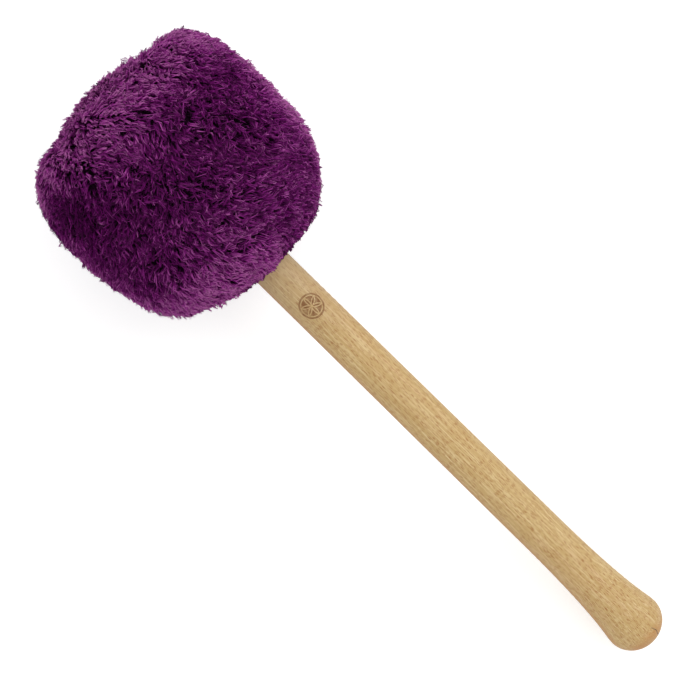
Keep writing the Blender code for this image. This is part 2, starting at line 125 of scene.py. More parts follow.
def unit(vectors: np.ndarray) -> np.ndarray:
    """Vectors of length 1 in the same directions."""
    return vectors / np.maximum(np.linalg.norm(vectors, axis=-1, keepdims=True), 1e-12)


def smoothstep(low: float, high: float, values: np.ndarray) -> np.ndarray:
    """A soft step from 0 at low to 1 at high."""
    share = np.clip((values - low) / (high - low), 0.0, 1.0)
    return share * share * (3.0 - 2.0 * share)


def ripple(points: np.ndarray, size: float, seed: int, waves: int = 12) -> np.ndarray:
    """Smooth seeded noise in space, a sum of plane waves in seeded directions.

    Args:
        points: Places, shape (..., 3).
        size: About how far it is from one high place to the next.
        seed: Picks the waves.
        waves: How many waves are summed.

    Returns:
        Values of about -1 to 1, shape (...).
    """
    rng = np.random.default_rng(seed)
    ways = unit(rng.normal(size=(waves, 3))) * (math.tau / size) * rng.uniform(0.6, 1.4, size=(waves, 1))
    phases = rng.uniform(0.0, math.tau, size=waves)
    return np.sin(points @ ways.T + phases).sum(axis=-1) / math.sqrt(waves)


def around(x: np.ndarray, radius: np.ndarray, angle: np.ndarray) -> np.ndarray:
    """Places at a distance along the axis, a radius and an angle, all of one shape."""
    return np.stack([x + 0 * angle, radius * np.sin(angle), -radius * np.cos(angle)], axis=-1)


def path_length(path: np.ndarray) -> np.ndarray:
    """How far along a path each of its points is."""
    return np.concatenate([[0.0], np.cumsum(np.linalg.norm(np.diff(path, axis=0), axis=1))])


def respaced(path: np.ndarray, spacing: float) -> np.ndarray:
    """A path with its points evenly spaced, its first and last kept.

    Args:
        path: The path's points, shape (n, axes).
        spacing: About how far apart the new points are.

    Returns:
        The new points.
    """
    run = path_length(path)
    marks = np.linspace(0.0, run[-1], max(3, int(round(run[-1] / spacing)) + 1))
    return np.column_stack([np.interp(marks, run, path[:, axis]) for axis in range(path.shape[1])])


def rounded(corners: list, radius: float, closed: bool, steps: int = 4) -> np.ndarray:
    """A section whose corners are rounded off by short curves, each a parabola from side to side.

    Args:
        corners: The section's (along, radius) corners in order.
        radius: How far from a corner its curve starts, at most.
        closed: Whether the last corner joins the first.
        steps: Points on each curve.

    Returns:
        The rounded section, shape (n, 2).
    """
    most_of_side = 0.45
    points = np.array(corners)
    share = np.linspace(0.0, 1.0, steps)[:, None]
    rows = []
    for index, corner in enumerate(points):
        if not closed and index in (0, len(points) - 1):
            rows.append(corner[None])
            continue
        before, after = points[index - 1], points[(index + 1) % len(points)]
        reach_in = min(radius, most_of_side * np.linalg.norm(before - corner))
        reach_out = min(radius, most_of_side * np.linalg.norm(after - corner))
        start = corner + unit(before - corner) * reach_in
        end = corner + unit(after - corner) * reach_out
        rows.append(start * (1 - share) ** 2 + corner * 2 * share * (1 - share) + end * share**2)
    return np.concatenate(rows)


@dataclass
class Shape:
    """Points and faces of a surface in the mallet's own frame, with values carried by its points."""

    points: np.ndarray
    quads: np.ndarray = field(default_factory=lambda: np.zeros((0, 4), dtype=np.int64))
    triangles: np.ndarray = field(default_factory=lambda: np.zeros((0, 3), dtype=np.int64))
    values: dict = field(default_factory=dict)

    @staticmethod
    def woven(grid: np.ndarray, loop: Loop, poles: tuple = ()) -> "Shape":
        """A closed surface from a grid of points whose columns run round and close on themselves.

        Args:
            grid: Points, shape (rows, columns, 3).
            loop: Whether the rows close on each other or end in poles.
            poles: The two poles, where the rows end in poles.

        Returns:
            The surface, with the points in the grid's order and then the poles.
        """
        rows, columns = grid.shape[:2]
        index = np.arange(rows * columns).reshape(rows, columns)
        ahead = np.roll(index, -1, axis=0) if loop is Loop.RING else index[1:]
        here = index if loop is Loop.RING else index[:-1]
        quads = np.stack([here, ahead, np.roll(ahead, -1, axis=1), np.roll(here, -1, axis=1)], axis=-1)
        points = grid.reshape(-1, 3)
        triangles = np.zeros((0, 3), dtype=np.int64)
        if loop is Loop.POLES:
            points = np.concatenate([points, np.array(poles)])
            first, last = index[0], index[-1]
            start = np.stack([np.full(columns, rows * columns), first, np.roll(first, -1)], axis=-1)
            end = np.stack([np.full(columns, rows * columns + 1), np.roll(last, -1), last], axis=-1)
            triangles = np.concatenate([start, end])
        return Shape(points, quads.reshape(-1, 4), triangles)

    @staticmethod
    def turned(outline: np.ndarray, angles: np.ndarray, loop: Loop) -> "Shape":
        """A surface turned from an outline.

        Args:
            outline: Its (along, radius) points, which start and end on the axis where the rows end in poles.
            angles: The angles round the axis.
            loop: Whether the outline closes on itself or ends in poles.

        Returns:
            The surface.
        """
        poles = ()
        if loop is Loop.POLES:
            poles = ((outline[0, 0], 0.0, 0.0), (outline[-1, 0], 0.0, 0.0))
            outline = outline[1:-1]
        grid = around(outline[:, :1], outline[:, 1:], angles[None, :])
        return Shape.woven(grid, loop, poles)

    @staticmethod
    def joined(shapes: list) -> "Shape":
        """Several surfaces as one.

        Args:
            shapes: The surfaces.

        Returns:
            One surface with the points and faces of all.
        """
        starts = np.cumsum([0] + [len(shape.points) for shape in shapes[:-1]])
        return Shape(
            np.concatenate([shape.points for shape in shapes]),
            np.concatenate([shape.quads + start for shape, start in zip(shapes, starts)]),
            np.concatenate([shape.triangles + start for shape, start in zip(shapes, starts)]),
        )

    def volume(self) -> float:
        """The space that the surface holds, the sum of the pyramids from the origin to its triangles.

        Returns:
            The volume, below 0 where the faces look inwards.
        """
        fans = np.concatenate([self.quads[:, [0, 1, 2]], self.quads[:, [0, 2, 3]], self.triangles])
        a, b, c = (self.points[fans[:, corner]] for corner in range(3))
        return float(np.einsum("ij,ij->i", a, np.cross(b, c)).sum() / 6.0)

    def built(self, name: str) -> bpy.types.Object:
        """Makes the object, laid down, smooth and with its faces outwards.

        Args:
            name: The object's name.

        Returns:
            The object, at the origin, linked to the scene.
        """
        if self.volume() < 0.0:
            self.quads = self.quads[:, ::-1]
            self.triangles = self.triangles[:, ::-1]
        sizes = np.concatenate([np.full(len(self.quads), 4), np.full(len(self.triangles), 3)])
        corners = np.concatenate([self.quads.ravel(), self.triangles.ravel()])
        mesh = bpy.data.meshes.new(name)
        mesh.vertices.add(len(self.points))
        mesh.vertices.foreach_set("co", LIE.down(self.points).astype(np.float32).ravel())
        mesh.loops.add(len(corners))
        mesh.loops.foreach_set("vertex_index", corners.astype(np.int32))
        mesh.polygons.add(len(sizes))
        starts = np.concatenate([[0], np.cumsum(sizes)[:-1]]).astype(np.int32)
        mesh.polygons.foreach_set("loop_start", starts)
        mesh.polygons.foreach_set("use_smooth", np.ones(len(sizes), dtype=bool))
        for key, values in self.values.items():
            carried = mesh.attributes.new(key, "FLOAT", "POINT")
            carried.data.foreach_set("value", values.astype(np.float32).ravel())
        mesh.update(calc_edges=True)
        mesh.validate()
        piece = bpy.data.objects.new(name, mesh)
        bpy.context.scene.collection.objects.link(piece)
        return piece


def finished(
    piece: bpy.types.Object, material: bpy.types.Material, slot: Slot, *nodes: str
) -> bpy.types.Object:
    """Gives a piece its material and body, and hides the nodes it stands for.

    Args:
        piece: The piece.
        material: Its material.
        slot: Not used.
        nodes: Names of the solids it stands for.

    Returns:
        The same piece.
    """
    piece.data.materials.append(material)
    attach(piece, BODY)
    if nodes:
        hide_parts(*nodes)
    return piece


class Net:
    """A short way to add nodes to a node tree."""

    def __init__(self, tree: bpy.types.NodeTree) -> None:
        """Starts on a node tree."""
        self.tree = tree

    def put(self, socket: bpy.types.NodeSocket, value: object) -> None:
        """Links another node's output to a socket, or sets the socket's own value.

        Args:
            socket: The input.
            value: An output to link, a value to set, or None to leave the input as it is.
        """
        if isinstance(value, bpy.types.NodeSocket):
            self.tree.links.new(value, socket)
        elif value is not None:
            socket.default_value = value

    def node(self, kind: str, inputs: dict | None = None, **settings: object) -> bpy.types.Node:
        """Adds a node.

        Args:
            kind: The node's type without its prefix.
            inputs: Value or output for each input, by name or number.
            settings: The node's own settings.

        Returns:
            The node.
        """
        made = self.tree.nodes.new("ShaderNode" + kind)
        for key, value in settings.items():
            setattr(made, key, value)
        for key, value in (inputs or {}).items():
            self.put(made.inputs[key], value)
        return made

    def math(self, operation: str, a: object, b: object = None, clamp: bool = False) -> bpy.types.NodeSocket:
        """One sum on two values."""
        return self.node("Math", {0: a, 1: b}, operation=operation, use_clamp=clamp).outputs[0]

    def scaled(self, vector: object, scale: tuple) -> bpy.types.NodeSocket:
        """A vector with each of its axes scaled."""
        return self.node("VectorMath", {0: vector, 1: scale}, operation="MULTIPLY").outputs[0]

    def noise(
        self, vector: object, scale: float, detail: float = 2.0, rough: float = 0.5
    ) -> bpy.types.NodeSocket:
        """Cloudy noise from 0 to 1."""
        inputs = {"Vector": vector, "Scale": scale, "Detail": detail, "Roughness": rough}
        return self.node("TexNoise", inputs).outputs[0]

    def drawn_out(
        self, place: object, along: float, across: float, detail: float = 2.0, rough: float = 0.5
    ) -> bpy.types.NodeSocket:
        """Cloudy noise drawn out along the mallet, with its own scale along and across it."""
        return self.noise(self.scaled(place, (along, across, across)), 1.0, detail, rough)

    def step(self, value: object, low: float, high: float, to: tuple = (0.0, 1.0)) -> bpy.types.NodeSocket:
        """A soft step between two values of a socket."""
        inputs = {"Value": value, "From Min": low, "From Max": high, "To Min": to[0], "To Max": to[1]}
        return self.node("MapRange", inputs, interpolation_type="SMOOTHSTEP").outputs[0]

    def mix(self, share: object, a: object, b: object, blend: str = "MIX") -> bpy.types.NodeSocket:
        """Two colours mixed.

        Args:
            share: How much of the second colour, from 0 to 1.
            a: The first colour.
            b: The second colour.
            blend: How they are mixed.

        Returns:
            The mixed colour.
        """
        made = self.node("Mix", data_type="RGBA", blend_type=blend, clamp_factor=True)
        for number, value in ((0, share), (6, a), (7, b)):
            self.put(made.inputs[number], value)
        return made.outputs[2]

    def attribute(self, name: str) -> bpy.types.NodeSocket:
        """A value carried by the mesh."""
        return self.node("Attribute", attribute_name=name).outputs["Fac"]

    def mallet_place(self) -> bpy.types.NodeSocket:
        """Object coordinates turned back to the mallet's own frame.

        Returns:
            The place as a vector.
        """
        place = self.node("TexCoord").outputs["Object"]
        laid = {"Location": (LIE.start, 0.0, LIE.height), "Rotation": (0.0, LIE.tilt, 0.0)}
        return self.node("Mapping", {"Vector": place} | laid, vector_type="TEXTURE").outputs[0]


class SocketKind(Enum):
    """Kinds of value that a node group takes or gives."""

    VALUE = "NodeSocketFloat"
    COLOUR = "NodeSocketColor"
    VECTOR = "NodeSocketVector"


def new_group(name: str, takes: dict, gives: dict) -> tuple:
    """Starts a shader node group.

    Args:
        name: The group's name.
        takes: Kind of each input, by name.
        gives: Kind of each output, by name.

    Returns:
        The group, a net on it, its input node's outputs and its output node's inputs.
    """
    tree = bpy.data.node_groups.new(name, "ShaderNodeTree")
    for direction, sockets in (("INPUT", takes), ("OUTPUT", gives)):
        for key, kind in sockets.items():
            tree.interface.new_socket(name=key, in_out=direction, socket_type=kind.value)
    net = Net(tree)
    start = tree.nodes.new("NodeGroupInput")
    end = tree.nodes.new("NodeGroupOutput")
    return tree, net, start.outputs, end.inputs


def use_group(net: Net, tree: bpy.types.NodeTree, inputs: dict) -> bpy.types.NodeOutputs:
    """Puts a node group into a net.

    Args:
        net: The net.
        tree: The group.
        inputs: Value or output for each of its inputs, by name.

    Returns:
        The group node's outputs.
    """
    made = net.tree.nodes.new("ShaderNodeGroup")
    made.node_tree = tree
    for key, value in inputs.items():
        net.put(made.inputs[key], value)
    return made.outputs


class Effects:
    """Node groups shared by several materials."""

    def __init__(self) -> None:
        """Builds the groups."""
        self.wood = self.wood_grain()
        self.fibres = self.matted_fibres()
        self.dust = self.settled_dust()

    def wood_grain(self) -> bpy.types.NodeTree:
        """Growth rings round a pith that lies outside the piece, ray flecks and fine fibres.

        Returns:
            A group from a place in the mallet's frame, four colours and an amount of flecks to a colour, a
            roughness and a height.
        """
        value, colour, vector = SocketKind.VALUE, SocketKind.COLOUR, SocketKind.VECTOR
        takes = {"Place": vector, "Pale": colour, "Deep": colour, "Blush": colour, "Fleck": colour}
        takes["Fleck Amount"] = value
        gives = {"Color": colour, "Roughness": value, "Height": value}
        tree, net, given, result = new_group("wood_grain", takes, gives)
        place = given["Place"]
        rings_per_metre = 560.0
        apart = net.node("SeparateXYZ", {0: place})
        across = net.math("ADD", apart.outputs[1], PITH_ASIDE)
        above = net.math("ADD", apart.outputs[2], PITH_BELOW)
        squared = net.math("ADD", net.math("POWER", across, 2.0), net.math("POWER", above, 2.0))
        reach = net.math("MULTIPLY", net.math("SQRT", squared), rings_per_metre)
        wander = net.math("MULTIPLY", net.drawn_out(place, 9.0, 60.0, 3.0), 3.2)
        years = net.math("ADD", reach, wander)
        ring = net.math("FRACT", years)
        late = net.math("MULTIPLY", net.step(ring, 0.45, 0.93), net.step(ring, 0.93, 1.0, (1.0, 0.0)))
        band = net.drawn_out(place, 5.0, 150.0)
        streak = net.step(net.drawn_out(place, 9.0, 1250.0, 4.0, 0.7), 0.40, 0.62, (0.0, 0.60))
        tone = net.math("ADD", net.math("MULTIPLY", late, 0.34), net.math("MULTIPLY", band, 0.45))
        tone = net.math("ADD", tone, streak, clamp=True)
        wood = net.mix(tone, given["Pale"], given["Deep"])
        blush = net.drawn_out(place, 5.0, 190.0)
        wood = net.mix(net.step(blush, 0.42, 0.66, (0.0, 0.60)), wood, given["Blush"])
        flecks = None
        for turn, scale, wide in (
            (0.05, (230.0, 2300.0, 1500.0), 0.29),
            (0.01, (300.0, 2900.0, 1900.0), 0.34),
            (0.03, (180.0, 1900.0, 1200.0), 0.24),
        ):
            slanted = net.node("Mapping", {"Vector": place, "Rotation": (0.0, 0.0, turn)}).outputs[0]
            cell = net.node("TexVoronoi", {"Vector": net.scaled(slanted, scale), "Scale": 1.0}, feature="F1")
            mark = net.step(cell.outputs["Distance"], wide - 0.05, wide + 0.04, (1.0, 0.0))
            strength = net.step(net.node("SeparateColor", {0: cell.outputs["Color"]}).outputs[0], 0.20, 0.90)
            mark = net.math("MULTIPLY", mark, strength)
            flecks = mark if flecks is None else net.math("MAXIMUM", flecks, mark)
        amount = net.math("MULTIPLY", flecks, given["Fleck Amount"], clamp=True)
        fibre = net.drawn_out(place, 110.0, 2300.0, 3.0, 0.7)
        line = net.drawn_out(place, 70.0, 1450.0, 1.0)
        lit = net.mix(net.step(fibre, 0.36, 0.66, (0.0, 0.26)), wood, given["Deep"])
        lit = net.mix(net.step(line, 0.42, 0.58, (0.0, 0.92)), lit, given["Deep"])
        net.put(result["Color"], net.mix(amount, lit, given["Fleck"]))
        net.put(result["Roughness"], net.math("ADD", net.math("MULTIPLY", fibre, 0.16), 0.40))
        deep = net.math("MULTIPLY", flecks, 0.5)
        net.put(result["Height"], net.math("SUBTRACT", net.math("MULTIPLY", fibre, 0.5), deep))
        return tree

    def matted_fibres(self) -> bpy.types.NodeTree:
        """Fibres matted every way, for felt and wadding.

        Returns:
            A group from a place, a fibre size and two colours to a colour, a roughness and a height.
        """
        value, colour, vector = SocketKind.VALUE, SocketKind.COLOUR, SocketKind.VECTOR
        takes = {"Place": vector, "Fineness": value, "Pale": colour, "Deep": colour}
        tree, net, given, result = new_group(
            "matted_fibres", takes, {"Color": colour, "Roughness": value, "Height": value}
        )
        place = given["Place"]
        bent = net.node("TexNoise", {"Vector": place, "Scale": 240.0, "Detail": 1.0}).outputs["Color"]
        shift = net.scaled(bent, (0.0016, 0.0016, 0.0016))
        moved = net.node("VectorMath", {0: place, 1: shift}, operation="ADD").outputs[0]
        total = None
        for stretch in ((0.16, 1.0, 0.9), (1.0, 0.18, 0.8), (0.9, 0.8, 0.2)):
            fine = net.node("TexNoise", {"Vector": net.scaled(moved, stretch), "Detail": 2.0})
            net.put(fine.inputs["Scale"], given["Fineness"])
            strand = net.math("ABSOLUTE", net.math("SUBTRACT", fine.outputs[0], 0.5))
            total = strand if total is None else net.math("MINIMUM", total, strand)
        open_mat = net.step(total, 0.0, 0.09)
        gaps = net.math("MULTIPLY", open_mat, 0.6)
        cloud = net.math("MULTIPLY", net.noise(place, 90.0, 3.0), 0.4)
        share = net.math("ADD", gaps, cloud, clamp=True)
        net.put(result["Color"], net.mix(share, given["Pale"], given["Deep"]))
        net.put(result["Roughness"], net.math("ADD", net.math("MULTIPLY", open_mat, 0.08), 0.88))
        net.put(result["Height"], net.math("SUBTRACT", 1.0, open_mat))
        return tree

    def settled_dust(self) -> bpy.types.NodeTree:
        """Fine dust and handling marks in patches.

        Returns:
            A group from a place and a colour to the colour with the marks on it, and how thick they are.
        """
        value, colour, vector = SocketKind.VALUE, SocketKind.COLOUR, SocketKind.VECTOR
        takes = {"Place": vector, "Clean": colour, "Dust": colour, "Amount": value}
        tree, net, given, result = new_group("settled_dust", takes, {"Color": colour, "Cover": value})
        patch = net.step(net.noise(given["Place"], 55.0, 4.0, 0.6), 0.48, 0.72)
        grit = net.step(net.noise(given["Place"], 1400.0, 2.0, 0.6), 0.45, 0.8)
        cover = net.math("MULTIPLY", net.math("MULTIPLY", patch, grit), given["Amount"], clamp=True)
        net.put(result["Color"], net.mix(cover, given["Clean"], given["Dust"]))
        net.put(result["Cover"], cover)
        return tree


def shader_material(name: str) -> tuple:
    """A new material with its Principled shader.

    Args:
        name: The material's name.

    Returns:
        The material, a net on its tree and the shader's inputs.
    """
    material = bpy.data.materials.new(name)
    material.use_nodes = True
    return material, Net(material.node_tree), material.node_tree.nodes["Principled BSDF"].inputs


def bumped(net: Net, height: object, strength: float, distance: float) -> bpy.types.NodeSocket:
    """A normal raised by a height."""
    inputs = {"Height": height, "Strength": strength, "Distance": distance}
    return net.node("Bump", inputs).outputs[0]


@dataclass(frozen=True)
class BeechFinish:
    """Steamed beech: flecks, burnt mark, darker end grain, darker near the head and painted shade on a
    flank.
    """

    pale: tuple = (0.782, 0.612, 0.326, 1.0)
    deep: tuple = (0.548, 0.360, 0.136, 1.0)
    blush: tuple = (0.640, 0.415, 0.208, 1.0)
    fleck: tuple = (0.365, 0.150, 0.036, 1.0)
    burnt: tuple = (0.225, 0.092, 0.028, 1.0)
    end: tuple = (0.500, 0.232, 0.058, 1.0)
    crack: tuple = (0.055, 0.028, 0.014, 1.0)
    near_head_tone: tuple = (0.470, 0.350, 0.215, 1.0)
    dust: tuple = (0.52, 0.41, 0.28, 1.0)
    fleck_amount: float = 0.95
    dust_amount: float = 0.12
    darker_from: float = 0.108
    darker_to: float = 0.185

    def material(self, effects: Effects) -> bpy.types.Material:
        """The material, with its mark and end grain taken from values carried by the mesh.

        Args:
            effects: Node groups shared by the materials.

        Returns:
            The material.
        """
        material, net, shader = shader_material("beech_turned")
        place = net.mallet_place()
        inputs = {"Place": place, "Pale": self.pale, "Deep": self.deep, "Blush": self.blush}
        inputs.update({"Fleck": self.fleck, "Fleck Amount": self.fleck_amount})
        grain = use_group(net, effects.wood, inputs)
        along = net.node("SeparateXYZ", {0: place}).outputs[0]
        # Darker towards the head, fading out along the first part of the grip
        near_head = net.step(along, self.darker_from, self.darker_to, (0.42, 0.0))
        darker_near_head = net.mix(near_head, grain["Color"], self.near_head_tone)
        with_end = net.mix(net.attribute("end_grain"), darker_near_head, self.end)
        with_crack = net.mix(net.attribute("crack"), with_end, self.crack)
        burn = net.attribute("burn")
        charred = net.math("MULTIPLY", burn, net.step(net.noise(place, 900.0, 3.0), 0.1, 0.6, (0.72, 0.98)))
        # Painted shade on the flank away from the lamp, in the end grain's warm brown, under the burnt mark
        marked = net.mix(charred, net.mix(net.attribute("painted_flank_shade"), with_crack, self.end), self.burnt)
        inputs = {"Place": place, "Clean": marked, "Dust": self.dust, "Amount": self.dust_amount}
        net.put(shader["Base Color"], use_group(net, effects.dust, inputs)["Color"])
        rough = net.math("ADD", grain["Roughness"], net.math("MULTIPLY", burn, 0.25))
        net.put(shader["Roughness"], rough)
        net.put(shader["Normal"], bumped(net, grain["Height"], 0.22, 0.0001))
        shader["Specular IOR Level"].default_value = 0.42
        shader["Coat Roughness"].default_value = 0.35
        shader["Coat Weight"].default_value = 0.06
        return material


@dataclass(frozen=True)
class CoreFinish:
    """Plain sawn wood of the core."""

    pale: tuple = (0.520, 0.370, 0.200, 1.0)
    deep: tuple = (0.330, 0.210, 0.100, 1.0)
    blush: tuple = (0.450, 0.290, 0.160, 1.0)
    fleck: tuple = (0.200, 0.110, 0.050, 1.0)
    fleck_amount: float = 0.5

    def material(self, effects: Effects) -> bpy.types.Material:
        """The material, rougher and darker than the handle's.

        Args:
            effects: Node groups shared by the materials.

        Returns:
            The material.
        """
        material, net, shader = shader_material("core_wood_sawn")
        place = net.mallet_place()
        inputs = {"Place": place, "Pale": self.pale, "Deep": self.deep, "Blush": self.blush}
        inputs.update({"Fleck": self.fleck, "Fleck Amount": self.fleck_amount})
        grain = use_group(net, effects.wood, inputs)
        net.put(shader["Base Color"], grain["Color"])
        net.put(shader["Roughness"], net.math("ADD", grain["Roughness"], 0.14))
        net.put(shader["Normal"], bumped(net, grain["Height"], 0.5, 0.0002))
        return material


@dataclass(frozen=True)
class SteelFinish:
    """Zinc-plated steel with fine turning marks and dull patches."""

    bright: tuple = (0.620, 0.630, 0.640, 1.0)
    dull: tuple = (0.360, 0.360, 0.350, 1.0)
    dull_amount: float = 0.9
    marks_per_metre: float = 9000.0

    def material(self, effects: Effects) -> bpy.types.Material:
        """The material of the screw and the washer.

        Args:
            effects: Node groups shared by the materials.

        Returns:
            The material.
        """
        material, net, shader = shader_material("zinc_plated_steel")
        place = net.mallet_place()
        inputs = {"Place": place, "Clean": self.bright, "Dust": self.dull, "Amount": self.dull_amount}
        dusty = use_group(net, effects.dust, inputs)
        apart = net.node("SeparateXYZ", {0: place})
        radius = net.node("CombineXYZ", {1: apart.outputs[1], 2: apart.outputs[2]}).outputs[0]
        reach = net.node("VectorMath", {0: radius}, operation="LENGTH").outputs["Value"]
        marks = net.math("MULTIPLY", reach, self.marks_per_metre)
        turning = net.noise(net.node("CombineXYZ", {0: marks}).outputs[0], 1.0, 2.0)
        net.put(shader["Base Color"], dusty["Color"])
        net.put(shader["Roughness"], net.math("ADD", net.math("MULTIPLY", turning, 0.18), 0.26))
        net.put(shader["Normal"], bumped(net, turning, 0.15, 0.00005))
        shader["Metallic"].default_value = 1.0
        return material


@dataclass(frozen=True)
class FibreFinish:
    """Matted fibres: pressed felt or loose wadding."""

    name: str
    pale: tuple
    deep: tuple
    fineness: float
    relief: float

    def material(self, effects: Effects) -> bpy.types.Material:
        """The material, dull, with a slight sheen from loose fibres.

        Args:
            effects: Node groups shared by the materials.

        Returns:
            The material.
        """
        material, net, shader = shader_material(self.name)
        inputs = {"Place": net.mallet_place(), "Fineness": self.fineness}
        fibres = use_group(net, effects.fibres, inputs | {"Pale": self.pale, "Deep": self.deep})
        net.put(shader["Base Color"], fibres["Color"])
        net.put(shader["Roughness"], fibres["Roughness"])
        net.put(shader["Normal"], bumped(net, fibres["Height"], 0.6, self.relief))
        shader["Sheen Weight"].default_value = 0.25
        shader["Sheen Roughness"].default_value = 0.6
        return material


@dataclass(frozen=True)
class BackingFinish:
    """Knitted backing of the fleece, seen only between its tufts."""

    dark: tuple = (0.010, 0.0006, 0.009, 1.0)
    yarn: tuple = (0.034, 0.003, 0.028, 1.0)
    stitch: float = 760.0
    fineness: float = 1900.0

    def material(self, effects: Effects) -> bpy.types.Material:
        """The material: rows of knitted loops, dark between them.

        Args:
            effects: Node groups shared by the materials.

        Returns:
            The material.
        """
        material, net, shader = shader_material("fleece_backing")
        place = net.mallet_place()
        loops = net.node("TexVoronoi", {"Vector": net.scaled(place, (1.0, 1.3, 1.3)), "Scale": self.stitch})
        loop = net.step(loops.outputs["Distance"], 0.1, 0.6, (1.0, 0.0))
        inputs = {"Place": place, "Fineness": self.fineness, "Pale": self.yarn, "Deep": self.dark}
        fibres = use_group(net, effects.fibres, inputs)
        net.put(shader["Base Color"], net.mix(loop, self.dark, fibres["Color"]))
        net.put(shader["Roughness"], fibres["Roughness"])
        net.put(shader["Normal"], bumped(net, loop, 0.5, 0.0003))
        shader["Specular IOR Level"].default_value = 0.1
        return material


@dataclass(frozen=True)
class PileFinish:
    """Purple pile: plum, with painted shade near black at the roots and a greyish lilac painted sheen."""

    # Near black at the roots: painted shade deep in the pile
    root: tuple = (0.0110, 0.0001, 0.0105, 1.0)
    body: tuple = (0.152, 0.0052, 0.131, 1.0)
    # Greyish lilac of the painted sheen, for strands in painted light
    painted_sheen: tuple = (0.520, 0.190, 0.420, 1.0)
    sheen: tuple = (0.90, 0.22, 0.76, 1.0)

    def material(self) -> bpy.types.Material:
        """The material, from how far up its strand a point is and from the strand's painted light and shade.

        Returns:
            The material.
        """
        material, net, shader = shader_material("fleece_pile")
        rise = net.attribute("rise")
        shade = net.attribute("shade")
        # Painted shade: each strand runs from near black at its root to plum
        along = net.mix(net.step(rise, 0.10, 0.62), self.root, self.body)
        grey = net.node("CombineColor", {0: shade, 1: shade, 2: shade}).outputs[0]
        toned = net.mix(1.0, along, grey, "MULTIPLY")
        # Painted sheen: where the painted shade is light, the upper part of each strand turns greyish lilac
        light = net.step(shade, 1.0, 3.8, (0.0, 0.90))
        painted_sheen = net.math("MULTIPLY", net.step(rise, 0.20, 0.95), light, clamp=True)
        net.put(shader["Base Color"], net.mix(painted_sheen, toned, self.painted_sheen))
        shader["Roughness"].default_value = 0.70
        shader["Specular IOR Level"].default_value = 0.03
        shader["Sheen Weight"].default_value = 0.10
        shader["Sheen Roughness"].default_value = 0.40
        shader["Sheen Tint"].default_value = self.sheen
        return material


@dataclass(frozen=True)
class ThreadFinish:
    """Waxed thread, its plies shown by their own shape and by fine matted fibres."""

    name: str
    pale: tuple
    deep: tuple
    fineness: float = 2600.0

    def material(self, effects: Effects) -> bpy.types.Material:
        """The material of a thread or cord.

        Args:
            effects: Node groups shared by the materials.

        Returns:
            The material.
        """
        material, net, shader = shader_material(self.name)
        inputs = {"Place": net.mallet_place(), "Fineness": self.fineness}
        fibres = use_group(net, effects.fibres, inputs | {"Pale": self.pale, "Deep": self.deep})
        net.put(shader["Base Color"], fibres["Color"])
        net.put(shader["Roughness"], net.math("SUBTRACT", fibres["Roughness"], 0.2))
        net.put(shader["Normal"], bumped(net, fibres["Height"], 0.4, 0.0001))
        return material


@dataclass(frozen=True)
class Swelling:
    """A soft swelling or hollow of the head: share of its length, angle in degrees, reach and height."""

    share: float
    angle: float
    reach: float
    height: float


@dataclass(frozen=True)
class Wave:
    """A slow wave of the fleece over the padding: count round the head, length along it and phase."""

    count: int
    length: float
    phase: float


